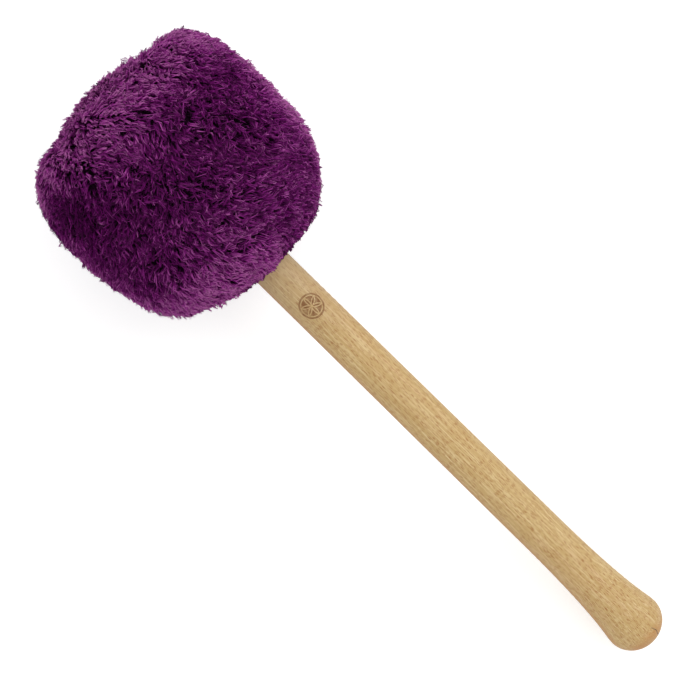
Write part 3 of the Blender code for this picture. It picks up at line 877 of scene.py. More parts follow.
@dataclass(frozen=True)
class HeadForm:
    """Form of the padded head: domed end panel, barrel side and rear drawn in to the handle."""

    radius: float = 0.0632
    length: float = 0.1221
    crown: float = 0.0525
    panel_radius: float = 0.0368
    panel_dome: float = 0.0080
    front_fullness: float = 2.15
    front_squareness: float = 2.70
    rear_fullness: float = 2.86
    rear_squareness: float = 2.92
    hem: float = 0.0108
    gathers: int = 12
    gather_depth: float = 0.0020
    gather_start: float = math.radians(35)
    swellings: tuple = (
        Swelling(0.115, 95.0, 0.0120, 0.0007),
        Swelling(0.770, 92.0, 0.0120, 0.0008),
        Swelling(0.900, 94.0, 0.0120, -0.0007),
        Swelling(0.965, 98.0, 0.0120, 0.0023),
        Swelling(0.115, -95.0, 0.0120, -0.0007),
        Swelling(0.245, -95.0, 0.0120, -0.0004),
        Swelling(0.600, -92.0, 0.0120, -0.0006),
        Swelling(0.770, -92.0, 0.0120, -0.0004),
        Swelling(0.900, -94.0, 0.0120, 0.0010),
        Swelling(0.965, -98.0, 0.0120, -0.0022),
    )
    waves: tuple = (Wave(3, 0.078, 0.9), Wave(7, 0.052, 2.1), Wave(10, 0.041, 4.0))
    wave_height: float = 0.0009
    fade: float = 0.0100
    resting_arc: float = math.radians(20)
    free_arc: float = math.radians(60)
    softness: float = 0.0003

    def outline(self) -> tuple:
        """The outer outline from the middle of the end panel to the hem.

        Returns:
            The points (along, radius), how far along the outline each is, how deep the gathers are at each,
            and the distance along the outline at which the seam lies.
        """
        share = np.linspace(0.0, 1.0, 120)
        panel = np.column_stack([self.panel_dome * share**2, self.panel_radius * share])
        turn = np.linspace(math.pi / 2, 0.0, 400)
        reach = np.sin(turn) ** (2 / self.front_fullness)
        rise = np.maximum(np.cos(turn), 0.0) ** (2 / self.front_squareness)
        rise[0] = 0.0
        out = self.radius - self.panel_radius
        forward = (self.crown - self.panel_dome) * reach
        front = np.column_stack([self.crown - forward, self.panel_radius + out * rise])
        end = math.acos((self.hem / self.radius) ** (self.rear_squareness / 2))
        turn = np.linspace(0.0, end, 500)
        reach = np.sin(turn) ** (2 / self.rear_fullness)
        rise = np.cos(turn) ** (2 / self.rear_squareness)
        rear = np.column_stack([self.crown + (self.length - self.crown) * reach, self.radius * rise])
        drawn = np.clip((turn - self.gather_start) / (end - self.gather_start), 0.0, 1.0)
        points = np.concatenate([panel, front[1:], rear[1:]])
        depth = np.concatenate([np.zeros(len(panel) + len(front) - 1), np.sin(math.pi * drawn[1:])])
        run = path_length(points)
        return points, run, depth * self.gather_depth, run[len(panel) - 1]

    def standing_out(self, places: np.ndarray, side: np.ndarray) -> np.ndarray:
        """How far the side of the head stands out of its plain form.

        A swelling is a bell curve of the distance from its middle. A wave is a sine that runs askew round
        the head, strongest on its two flanks. Both are the same as in the solid.

        Args:
            places: Places on the plain form, shape (..., 3).
            side: The outline of the side, from the seam to the hem.

        Returns:
            The heights, dying out towards the seam, the hem and the side that the head rests on.
        """
        x, y, z = places[..., 0], places[..., 1], places[..., 2]
        radius, angle = np.hypot(y, z), np.arctan2(y, -z)
        total = self.softness * ripple(places, 0.016, SEED + 2)
        for wave in self.waves:
            crest = np.sin(wave.count * angle + math.tau * x / wave.length + wave.phase)
            total = total + self.wave_height * np.cos(angle) ** 2 * crest
        for lump in self.swellings:
            start = lump.share * self.length
            out = float(np.interp(start, side[:, 0], side[:, 1]))
            turn = math.radians(lump.angle)
            middle = np.array([start, out * math.sin(turn), -out * math.cos(turn)])
            away = np.linalg.norm(places - middle, axis=-1)
            total = total + lump.height * np.exp(-0.5 * (away / lump.reach) ** 2)
        from_seam = np.hypot(x - side[0, 0], radius - side[0, 1])
        from_hem = np.hypot(x - side[-1, 0], radius - side[-1, 1])
        kept = np.clip(np.minimum(from_seam, from_hem) / self.fade, 0.0, 1.0)
        free = np.clip((np.abs(angle) - self.resting_arc) / (self.free_arc - self.resting_arc), 0.0, 1.0)
        return total * kept * free * (radius > side[0, 1] * (x < self.crown))

    def surface(self, along_outline: np.ndarray, angle: np.ndarray, depth: object = 0.0) -> np.ndarray:
        """Places on the head's surface, or below it.

        Args:
            along_outline: How far along the outline from the middle of the end panel, any shape.
            angle: Angle round the axis, of the same shape.
            depth: How far below the surface.

        Returns:
            The places, shape (..., 3).
        """
        points, run, gather, seam = self.outline()
        slope = np.gradient(points, run, axis=0)
        slope /= np.linalg.norm(slope, axis=1)[:, None]
        x, radius = (np.interp(along_outline, run, points[:, axis]) for axis in range(2))
        out_x = -np.interp(along_outline, run, slope[:, 1])
        out_r = np.interp(along_outline, run, slope[:, 0])
        folds = np.interp(along_outline, run, gather) * (1.0 - np.cos(self.gathers * angle)) / 2.0
        swell = self.standing_out(around(x, radius, angle), points[run >= seam])
        move = swell - folds - depth
        return around(x + out_x * move, np.maximum(radius + out_r * move, 0.0), angle)


@dataclass(frozen=True)
class Nap:
    """A zone of the nap: where it is, how it lies, its painted shade, how tousled it is, and its reach."""

    along: float
    across: float
    heading: float
    lean: float
    shade: float
    tousled: float
    reach: float


@dataclass(frozen=True)
class Pile:
    """Long pile of the cover: soft curled strands that stand in locks, and locks that stand in tresses.

    A range or a draw holds the least and the most. A turn, lean, draw, rise or tone says how much a tress,
    a lock or a strand turns aside, leans, draws together, stands out or differs in shade.
    """

    form: HeadForm
    naps: tuple
    count: int = 92000
    per_piece: int = 11500
    plastic_number: float = 1.324717957244746
    scatter: float = 0.0012
    root_depth: float = 0.0044
    length: float = 0.0066
    length_range: tuple = (0.80, 1.16)
    width: float = 0.00056
    width_range: tuple = (0.75, 1.20)
    shorn: float = 0.0046
    curl: float = 0.00038
    lock_size: float = 0.0016
    lock_seed: int = 11
    tress_size: float = 0.0045
    tress_seed: int = 29
    handle_radius: float = 0.01095
    hem_zone: float = 0.100
    sag: float = 0.45
    plain_lean: float = 0.62
    plain_tousled: float = 0.55
    plain_weight: float = 0.30
    upright: float = 74.0
    flat: float = 18.0
    tress_turn: float = 0.70
    lock_turn: float = 0.50
    strand_turn: float = 0.06
    lock_lean: float = 0.22
    tress_draw: tuple = (0.00, 0.16)
    lock_draw: tuple = (0.25, 0.70)
    lock_rise: float = 0.00048
    most_rise: float = 0.0011
    # Random tones per tress, lock and strand; painted light on raised locks and painted shade at their rims
    tress_tone: float = 0.08
    lock_tone: float = 0.24
    strand_tone: float = 0.26
    rise_tone: float = 150.0
    middle_tone: float = 0.38
    rim_tone: float = 0.85
    # Painted highlight along a strand's ridge, painted shade on its sides, and a lighter tip
    ridge_shade: float = 1.70
    side_shade: float = 0.40
    tip_shade: float = 1.15
    most_shade: float = 4.0
    ring_places: tuple = (0.0, 0.46, 0.88)
    ring_widths: tuple = (0.80, 1.0, 0.92)
    flatness: float = 0.75

    def roots(self, rng: np.random.Generator) -> tuple:
        """Places for the strands' roots, even over the head's area.

        Their steps are the first two powers of one over the plastic number, which never bunch up.

        Args:
            rng: Seeded numbers for the jitter.

        Returns:
            How far along the outline and at which angle each root is.
        """
        points, run, _, _ = self.form.outline()
        area = np.concatenate([[0.0], np.cumsum(np.diff(run) * (points[1:, 1] + points[:-1, 1]) / 2)])
        number = np.arange(self.count)
        first = (0.5 + number * (1 / self.plastic_number)) % 1.0
        second = (0.5 + number * (1 / self.plastic_number**2)) % 1.0
        first = np.clip(first + rng.normal(scale=self.scatter, size=self.count), 0.0, 1.0)
        second = second + rng.normal(scale=self.scatter, size=self.count)
        return np.interp(first * area[-1], area, run), second * math.tau

    def ground(self, place: np.ndarray, angle: np.ndarray) -> tuple:
        """Where each root is and which way is out and rearwards there, by differences of the form.

        Args:
            place: How far along the outline each root is.
            angle: Its angle.

        Returns:
            The roots, the outward directions and the rearward directions.
        """
        step, turn = 0.0004, 0.006
        roots = self.form.surface(place, angle, self.root_depth)
        fore = self.form.surface(np.maximum(place - step, 0.0), angle, self.root_depth)
        aft = self.form.surface(place + step, angle, self.root_depth)
        left = self.form.surface(place, angle - turn, self.root_depth)
        right = self.form.surface(place, angle + turn, self.root_depth)
        rearward = unit(aft - fore)
        out = unit(np.cross(rearward, right - left))
        middle = np.array([0.06, 0.0, 0.0])
        facing = np.sign(np.einsum("ij,ij->i", out, roots - middle))
        return roots, out * facing[:, None], rearward

    def lie(self, roots: np.ndarray, rearward: np.ndarray) -> tuple:
        """Which way the nap lies at each root, how flat, and its painted light and shade.

        It is a mean of the plain nap and of the zones round the root, each weighted by a bell curve.

        Args:
            roots: The roots.
            rearward: The rearward direction at each.

        Returns:
            The directions, the leans from 0 (standing) to 1 (flat), the painted shades and how tousled it
            is.
        """
        x, y, z = roots.T
        radius = np.hypot(y, z)
        # Painted light on the end panel's nap and a painted shadow in the crease of the seam
        from_seam = np.hypot(x - self.form.panel_dome, radius - self.form.panel_radius)
        seam = np.exp(-0.5 * (from_seam / 0.0030) ** 2)
        shade = 1.0 + 2.4 * smoothstep(0.011, 0.007, x) - 0.10 * seam
        weight = np.full(len(roots), self.plain_weight)
        way = (rearward + np.array([0.0, 0.0, -self.sag])) * weight[:, None]
        lean, shade, tousled = self.plain_lean * weight, shade * weight, self.plain_tousled * weight
        points = self.form.outline()[0]
        for nap in self.naps:
            reach_out = float(np.interp(nap.along, points[:, 0], points[:, 1])) - self.root_depth
            height = math.sqrt(max(reach_out**2 - nap.across**2, 0.0))
            away = np.linalg.norm(roots - np.array([nap.along, nap.across, height]), axis=1)
            share = np.exp(-0.5 * (away / nap.reach) ** 2)
            turn = math.radians(nap.heading)
            way = way + share[:, None] * np.array([math.cos(turn), math.sin(turn), 0.0])
            lean = lean + share * nap.lean
            shade = shade + share * nap.shade
            tousled = tousled + share * nap.tousled
            weight = weight + share
        hem = smoothstep(0.109, 0.118, x) * smoothstep(0.034, 0.016, radius)
        return way / weight[:, None], lean / weight * (1.0 - 0.75 * hem), shade / weight, tousled / weight

    def locks(self, roots: np.ndarray, size: float, seed: int) -> np.ndarray:
        """The lock each root belongs to: the nearest of one seeded point in each cell of a lattice.

        Args:
            roots: The roots.
            size: Size of a cell.
            seed: Picks the points.

        Returns:
            A number from 0 for each root.
        """
        cell = np.floor(roots / size).astype(np.int64)
        best = np.full(len(roots), np.inf)
        owner = np.zeros(len(roots), dtype=np.int64)
        for offset in np.ndindex(3, 3, 3):
            near = cell + np.array(offset) - 1
            key = np.bitwise_xor.reduce(near * np.array(CELL_FACTORS), axis=1) ^ seed
            mixed = (key[:, None] * np.array(JITTER_FACTORS)) >> JITTER_SHIFT
            jitter = mixed % JITTER_STEPS / JITTER_STEPS
            away = np.linalg.norm(roots - (near + jitter) * size, axis=1)
            closer = away < best
            best = np.where(closer, away, best)
            owner = np.where(closer, key, owner)
        return np.unique(owner, return_inverse=True)[1]

    @staticmethod
    def varied(rng: np.random.Generator, owner: np.ndarray, spread: float, *axes: int) -> np.ndarray:
        """Seeded numbers that all the strands of a lock share."""
        return rng.normal(scale=spread, size=(owner.max() + 1, *axes))[owner]

    @staticmethod
    def drawn(tips: np.ndarray, owner: np.ndarray, share: np.ndarray) -> np.ndarray:
        """Tips drawn towards the middle of the tips of their lock.

        Args:
            tips: The tips.
            owner: The lock each belongs to.
            share: How far each is drawn, from 0 to 1.

        Returns:
            The moved tips.
        """
        members = np.bincount(owner)
        middle = np.stack([np.bincount(owner, weights=tips[:, axis]) / members for axis in range(3)], axis=1)
        return tips + (middle[owner] - tips) * share[:, None]

    def at_rim(self, roots: np.ndarray, lock: np.ndarray) -> np.ndarray:
        """How near the rim of its lock each root is, from 0 in the middle to 1."""
        from_middle = np.linalg.norm(self.drawn(roots, lock, np.ones(len(roots))) - roots, axis=1)
        return smoothstep(0.20, 0.62, from_middle / self.lock_size)

    def combed(
        self, rng: np.random.Generator, roots: np.ndarray, out: np.ndarray, nap: tuple, owners: tuple
    ) -> tuple:
        """Which way each strand leans and how steeply: each tress and each lock turns aside as one.

        Args:
            rng: Seeded numbers.
            roots: The roots.
            out: The outward directions.
            nap: The nap's directions, leans and how tousled it is.
            owners: The tress and the lock of each strand.

        Returns:
            Unit directions square to the outward ones, and slopes in radians.
        """
        way, lean, tousled = nap
        tress, lock = owners
        turned = self.varied(rng, tress, self.tress_turn, 3)
        turned = turned + self.varied(rng, lock, self.lock_turn, 3)
        drift = np.stack([ripple(roots, 0.021, SEED + 10 + axis) for axis in range(3)], axis=1)
        way = unit(way) + tousled[:, None] * turned + 0.15 * drift
        way = way + rng.normal(scale=self.strand_turn, size=roots.shape)
        way = unit(way - np.einsum("ij,ij->i", way, out)[:, None] * out)
        uneven = self.varied(rng, lock, self.lock_lean) * tousled
        lean = np.clip(lean + uneven + rng.normal(scale=self.strand_turn, size=len(lean)), 0.0, 1.0)
        return way, np.radians(self.upright - (self.upright - self.flat) * lean)

    def lengths(
        self, rng: np.random.Generator, roots: np.ndarray, place: np.ndarray, rim: np.ndarray
    ) -> np.ndarray:
        """How long each strand is: uneven, shorter on the end panel and at the rim of its lock.

        Args:
            rng: Seeded numbers.
            roots: The roots.
            place: How far along the outline each is.
            rim: How near the rim of its lock each is.

        Returns:
            The lengths.
        """
        seam = self.form.outline()[3]
        length = self.length * rng.uniform(*self.length_range, size=len(place))
        length = length * (1.0 + 0.10 * ripple(roots, 0.011, SEED + 32))
        length = length * (1.0 - 0.22 * smoothstep(seam, seam - 0.004, place))
        return length * (1.0 - 0.10 * rim)

    def gathered(
        self, rng: np.random.Generator, roots: np.ndarray, tips: np.ndarray, ways: tuple, owners: tuple
    ) -> tuple:
        """Tips gathered into locks and tresses, each lock standing out by its own height, and shorn.

        Args:
            rng: Seeded numbers.
            roots: The roots.
            tips: The tips of straight strands.
            ways: The outward directions and those that the strands lean.
            owners: The tress and the lock of each strand.

        Returns:
            The tips, and how far the lock of each stands out.
        """
        out, way = ways
        tress, lock = owners
        tips = self.drawn(tips, tress, rng.uniform(*self.tress_draw, size=len(tips)))
        tips = self.drawn(tips, lock, rng.uniform(*self.lock_draw, size=len(tips)))
        rise = np.clip(self.varied(rng, lock, self.lock_rise), -self.most_rise, self.most_rise)
        tips = tips + rise[:, None] * (0.55 * out + 0.6 * way)
        height = np.einsum("ij,ij->i", tips - roots, out)
        return tips - 0.85 * np.maximum(height - self.shorn, 0.0)[:, None] * out, rise

    def toned(
        self, rng: np.random.Generator, shade: np.ndarray, rise: np.ndarray, rim: np.ndarray, owners: tuple
    ) -> np.ndarray:
        """Each point's shade: random, with painted light where its lock stands out, painted shade at its
        rim.

        Args:
            rng: Seeded numbers.
            shade: The nap's shade at each strand.
            rise: How far the lock of each stands out.
            rim: How near the rim of its lock each is.
            owners: The tress and the lock of each strand.

        Returns:
            The shades, shape (count, 10): a painted highlight on a strand's ridge, painted shade on its
                sides.
        """
        tress, lock = owners
        # Painted light where a lock stands out and painted shade at its rim, over random tones
        lock_tone = self.varied(rng, lock, self.lock_tone) + self.rise_tone * rise
        lock_tone = lock_tone + self.middle_tone - self.rim_tone * rim
        tress_tone = self.varied(rng, tress, self.tress_tone)
        own = rng.normal(scale=self.strand_tone, size=len(shade))
        shade = shade * np.exp(lock_tone + tress_tone + own)
        # Painted highlight on the top corner of each ring and painted shade on the two lower ones
        around = [self.ridge_shade, self.side_shade, self.side_shade]
        along = np.array(around * 3 + [self.tip_shade])
        return np.minimum(shade[:, None] * along[None], self.most_shade)

    def curls(self, rng: np.random.Generator, tousled: np.ndarray, lock: np.ndarray) -> np.ndarray:
        """How far each strand sways at its bend and at its tip, mostly as its lock does.

        Args:
            rng: Seeded numbers.
            tousled: How tousled the nap is.
            lock: The lock of each strand.

        Returns:
            The two sways, shape (2, count, 3).
        """
        shared = rng.normal(scale=1.4 * self.curl, size=(2, lock.max() + 1, 3))[:, lock]
        own = rng.normal(scale=0.55 * self.curl, size=shared.shape)
        return (shared + own) * (0.6 + tousled)[:, None]

    def tufts(self) -> tuple:
        """Works out every strand as a curled tube with a flattened, three-sided section and a soft point.

        A strand rises from its root and bends over the way its nap lies, along a parabola. Each tress and
        each lock leans its own way by as much as the nap is tousled there, and the strands of a lock draw
        together at their tips.

        Returns:
            The points of all strands, shape (count, 10, 3), in rings of three from the root and then the
            tip, the rise of each of the ten, each point's random and painted shade, and the place of each
            root.
        """
        rng = np.random.default_rng(SEED)
        place, angle = self.roots(rng)
        roots, out, rearward = self.ground(place, angle)
        way, lean, shade, tousled = self.lie(roots, rearward)
        lock = self.locks(roots, self.lock_size, self.lock_seed)
        owners = (self.locks(roots, self.tress_size, self.tress_seed), lock)
        rim = self.at_rim(roots, lock)
        way, slope = self.combed(rng, roots, out, (way, lean, tousled), owners)
        length = self.lengths(rng, roots, place, rim)
        tips = roots + length[:, None] * (np.cos(slope)[:, None] * way + np.sin(slope)[:, None] * out)
        tips, rise = self.gathered(rng, roots, tips, (out, way), owners)
        bend = roots + length[:, None] * (0.48 * out + 0.10 * way)
        shade = self.toned(rng, shade, rise, rim, owners)
        curl, twist = self.curls(rng, tousled, lock)
        widths = self.width * rng.uniform(*self.width_range, size=self.count)
        rings = []
        sways = (0.0 * curl, curl, twist - 0.8 * curl)
        for share, full, sway in zip(self.ring_places, self.ring_widths, sways):
            centre = roots * (1 - share) ** 2 + bend * 2 * share * (1 - share) + tips * share**2 + sway
            heading = unit((bend - roots) * (1 - share) + (tips - bend) * share)
            side = unit(np.cross(heading, out + 0.01 * way))
            lift = np.cross(side, heading)
            for turn in (math.tau / 4, 7 * math.tau / 12, 11 * math.tau / 12):
                round_out = math.cos(turn) * side + self.flatness * math.sin(turn) * lift
                rings.append(centre + (full * widths / 2)[:, None] * round_out)
        rings.append(tips - 0.5 * twist)
        heights = np.repeat([*self.ring_places, 1.0], [3, 3, 3, 1])
        return self.clear_of_handle(np.stack(rings, axis=1)), heights, shade, (place, angle)

    def clear_of_handle(self, points: np.ndarray) -> np.ndarray:
        """Points kept outside the handle, and outside the middle of the hem.

        Args:
            points: The points, shape (..., 3).

        Returns:
            The points, those near the hem moved out from the axis where they were inside the handle.
        """
        radius = np.hypot(points[..., 1], points[..., 2])
        behind = points[..., 0] > self.hem_zone
        scale = np.where(behind, np.maximum(self.handle_radius / np.maximum(radius, 1e-6), 1.0), 1.0)
        return np.stack([points[..., 0], points[..., 1] * scale, points[..., 2] * scale], axis=-1)

    @staticmethod
    def tuft_faces(count: int) -> np.ndarray:
        """The faces of strands of ten points each, every strand closed at its root.

        Args:
            count: How many strands.

        Returns:
            The triangles, shape (16 * count, 3).
        """
        faces = [(2, 1, 0)]
        for ring in (0, 3):
            for side in range(3):
                a, b = ring + side, ring + (side + 1) % 3
                faces += [(a, b, b + 3), (a, b + 3, a + 3)]
        faces += [(6, 7, 9), (7, 8, 9), (8, 6, 9)]
        return (np.arange(count)[:, None, None] * 10 + np.array(faces)[None]).reshape(-1, 3)

    def pieces(self, material: bpy.types.Material) -> tuple:
        """Builds the pile in pieces, first the end panel's and then the side's in turn round the axis.

        Args:
            material: The pile's material.

        Returns:
            The pieces of the end panel and those of the side.
        """
        points, rise, shade, (place, angle) = self.tufts()
        on_end = place < self.form.outline()[3]
        angle = angle % math.tau
        built = {"end": [], "side": []}
        for label, chosen in zip(built, (on_end, ~on_end)):
            order = np.flatnonzero(chosen)
            order = order[np.argsort(angle[order], kind="stable")]
            for part, members in enumerate(np.array_split(order, math.ceil(len(order) / self.per_piece))):
                shape = Shape(points[members].reshape(-1, 3), triangles=self.tuft_faces(len(members)))
                shape.values = {"rise": np.tile(rise, len(members)), "shade": shade[members].ravel()}
                piece = shape.built(f"pile_{label}_{part + 1:02d}")
                built[label].append(finished(piece, material, Slot.FLEECE))
        return built["end"], built["side"]


@dataclass(frozen=True)
class CoverSkin:
    """Knitted backing of the cover, in two pieces that meet in the seam."""

    form: HeadForm
    depth: float = 0.0049
    thickness: float = 0.0010
    seam_gap: float = 0.0004
    cloth: tuple = (0.364, 0.150)
    end_cloth: float = 0.080
    spacing: float = 0.0018
    side_columns: int = 200
    end_columns: int = 192

    def shell(self, start: float, end: float, columns: int, loop: Loop) -> Shape:
        """A closed shell between two places along the outline.

        Args:
            start: Where it starts along the outline.
            end: Where it ends.
            columns: Points round it.
            loop: Whether it is open in the middle or closes in poles.

        Returns:
            The shell.
        """
        place = np.linspace(start, end, int((end - start) / self.spacing) + 2)
        angle = np.linspace(0.0, math.tau, columns, endpoint=False)
        place, angle = np.meshgrid(place, angle, indexing="ij")
        outer = self.form.surface(place, angle, self.depth)
        inner = self.form.surface(place, angle, self.depth + self.thickness)
        if loop is Loop.POLES:
            poles = (outer[0].mean(axis=0), inner[0].mean(axis=0))
            return Shape.woven(np.concatenate([outer[1:], inner[:0:-1]]), loop, poles)
        return Shape.woven(np.concatenate([outer, inner[::-1]]), loop)

    def build(self, material: bpy.types.Material, pile_end: list, pile_side: list) -> None:
        """Builds both pieces and logs where the seam lies.

        Args:
            material: The backing's material.
            pile_end: Not used.
            pile_side: Not used.
        """
        _, run, _, seam = self.form.outline()
        side = self.shell(seam + self.seam_gap, run[-1], self.side_columns, Loop.RING)
        piece = finished(side.built("cover_side_skin"), material, Slot.FLEECE, "cover_side")
        end = self.shell(0.0, seam - self.seam_gap, self.end_columns, Loop.POLES)
        piece = finished(end.built("cover_end_skin"), material, Slot.FLEECE, "cover_end")
        LOG.info("cover: side and end panel, seam at %.1f mm along the outline", seam * 1000)


@dataclass(frozen=True)
class Rosette:
    """A burnt six-petalled rosette in a ring, drawn with a compass."""

    along: float = 0.1493
    radius: float = 0.0054
    ring: float = 0.0066
    line: float = 0.00026
    depth: float = 0.00012
    edge: float = 0.00010

    def burn(self, along: np.ndarray, across: np.ndarray) -> np.ndarray:
        """How burnt each place is, from 0 to 1: a disc with the rosette's lines left bare in it.

        Args:
            along: Places along the mallet.
            across: Places across it, measured on the surface from the top.

        Returns:
            The burn, of the places' shape.
        """
        x, y = along - self.along, across
        middle = np.hypot(x, y)
        nearest = np.abs(middle - self.radius)
        for petal in range(6):
            turn = math.tau * petal / 6
            from_point = np.hypot(x - self.radius * math.cos(turn), y - self.radius * math.sin(turn))
            away = np.abs(from_point - self.radius)
            nearest = np.minimum(nearest, np.where(middle <= self.radius + self.line, away, 1.0))
        disc = smoothstep(self.ring + self.edge, self.ring - self.edge, middle)
        return disc * smoothstep(self.line * 0.5, self.line * 1.5, nearest)


@dataclass(frozen=True)
class Handle:
    """Turned beech handle: spigot inside the head, slowly tapered grip, flare and domed butt."""

    mark: Rosette = Rosette()
    length: float = 0.400
    front: float = 0.0337
    pilot_end: float = 0.0632
    shoulder: float = 0.0928738
    spigot: float = 0.0090
    grip_at_head: float = 0.0105
    grip_at_flare: float = 0.0114
    hole: float = 0.0028
    flare: float = 0.0900
    nose: float = 0.0055
    run: float = 0.0620
    butt: float = 0.0156
    dome: float = 0.0140
    taper_start: float = 0.1221
    grip_start: float = 0.130
    grip_end: float = 0.310
    row_step: float = 0.0012
    mark_rows: int = 118
    mark_columns: int = 112
    other_columns: int = 92
    mark_arc: float = 0.80
    crack_aside: float = 0.0047

    def outline(self) -> np.ndarray:
        """The section from the bottom of the pilot hole, round the spigot and along to the tip of the butt.

        Returns:
            Its (along, radius) points.
        """
        tapered = np.interp(
            self.grip_start, [self.taper_start, self.grip_end], [self.grip_at_head, self.grip_at_flare]
        )
        inside = rounded(
            [
                (self.pilot_end, 0.0),
                (self.pilot_end - self.hole, self.hole),
                (self.front, self.hole),
                (self.front, self.spigot),
                (self.shoulder, self.spigot),
                (self.shoulder, self.grip_at_head),
                (self.grip_start, tapered),
            ],
            0.0005,
            False,
        )
        share = np.linspace(0.0, 1.0, 90)[:, None]
        grip = np.array([[self.grip_start, inside[-1, 1]], [self.grip_end, self.grip_at_flare]])
        grip = grip[0] + (grip[1] - grip[0]) * share
        widest = self.length - self.dome
        part = 1.0 - share[:, 0]
        back = (
            3 * self.nose * (1 - part) ** 2 * part
            + 3 * (self.flare - self.dome - self.run) * (1 - part) * part**2
            + (self.flare - self.dome) * part**3
        )
        rise = self.butt - self.grip_at_flare
        widened = self.grip_at_flare + rise * (1 - part) ** 2 * (1 + 2 * part)
        flare = np.column_stack([widest - back, widened])
        turn = np.linspace(0.0, math.pi / 2, 60)
        butt = np.column_stack([widest + self.dome * np.sin(turn), self.butt * np.cos(turn)])
        butt[-1, 1] = 0.0
        return np.concatenate([inside, grip[1:], flare[1:], butt[1:]])

    def rows(self) -> np.ndarray:
        """The outline with its points closest together at the burnt mark and the butt.

        Returns:
            Its (along, radius) points.
        """
        outline = self.outline()
        run = path_length(outline)
        at_mark = run[np.abs(outline[:, 0] - self.mark.along).argmin()]
        reach = self.mark.ring + self.row_step
        fine = np.linspace(at_mark - reach, at_mark + reach, self.mark_rows)
        first = run[np.abs(outline[:, 0] - self.grip_start).argmin()]
        stretches = [
            run[run <= first],
            np.arange(first + self.row_step, fine[0], self.row_step),
            fine,
            np.arange(fine[-1] + self.row_step, run[-1] - 0.024, self.row_step),
            np.linspace(run[-1] - 0.023, run[-1], 44),
        ]
        marks = np.concatenate(stretches)
        return np.column_stack([np.interp(marks, run, outline[:, axis]) for axis in range(2)])

    def build(self, material: bpy.types.Material) -> None:
        """Builds the handle with the mark sunk into it.

        Args:
            material: The beech.
        """
        outline = self.rows()
        arc = self.mark_arc
        fine = np.linspace(math.pi - arc, math.pi + arc, self.mark_columns)
        rest = np.linspace(math.pi + arc, 3 * math.pi - arc, self.other_columns)[1:-1]
        angles = np.concatenate([fine, rest])
        shape = Shape.turned(outline, angles, Loop.POLES)
        x, y, z = shape.points.T
        radius = np.hypot(y, z)
        across = np.arctan2(y, z) * radius
        on_grip = radius > self.grip_at_head - 0.0008
        burn = self.mark.burn(x, across) * (z > 0) * on_grip
        burn = burn * (0.82 + 0.18 * ripple(shape.points, 0.003, SEED + 3))
        tooling = 0.00004 * np.sin(x * math.tau / 0.0041) * ripple(shape.points, 0.05, SEED + 4)
        outside = on_grip & (x > self.shoulder + 0.001)
        sunk = np.where(outside, tooling - self.mark.depth * burn, 0.0)
        scale = (radius + sunk) / np.maximum(radius, 1e-6)
        shape.points = np.stack([x, y * scale, z * scale], axis=1)
        tip = self.length - self.dome
        slope = np.clip((x - tip) / self.dome, 0.0, 1.0)
        patch = 0.5 + 0.5 * ripple(shape.points, 0.012, SEED + 5)
        end_grain = smoothstep(0.10, 0.60, slope) * (0.50 + 0.45 * patch)
        rings = 0.5 + 0.5 * np.sin(np.hypot(y + PITH_ASIDE, z + PITH_BELOW) * 5200.0)
        wander = y - self.crack_aside - 0.0004 * np.sin(x * 900.0)
        crack = smoothstep(0.00030, 0.00010, np.abs(wander)) * smoothstep(0.3875, 0.3915, x) * (z > 0)
        shape.values = {
            "burn": np.clip(burn, 0.0, 1.0),
            "end_grain": np.clip(end_grain * (0.70 + 0.30 * rings), 0.0, 1.0),
            "crack": np.clip(crack, 0.0, 1.0),
            # Painted shade: the flank away from the lamp is darkened towards the end grain's warm brown
            "painted_flank_shade": 0.75 * smoothstep(0.84, 1.0, -y / np.maximum(radius, 1e-6)) * outside,
        }
        finished(shape.built("handle_turned"), material, Slot.BEECH, "handle")
        LOG.info("handle: %d points, mark at %.1f mm", len(shape.points), self.mark.along * 1000)


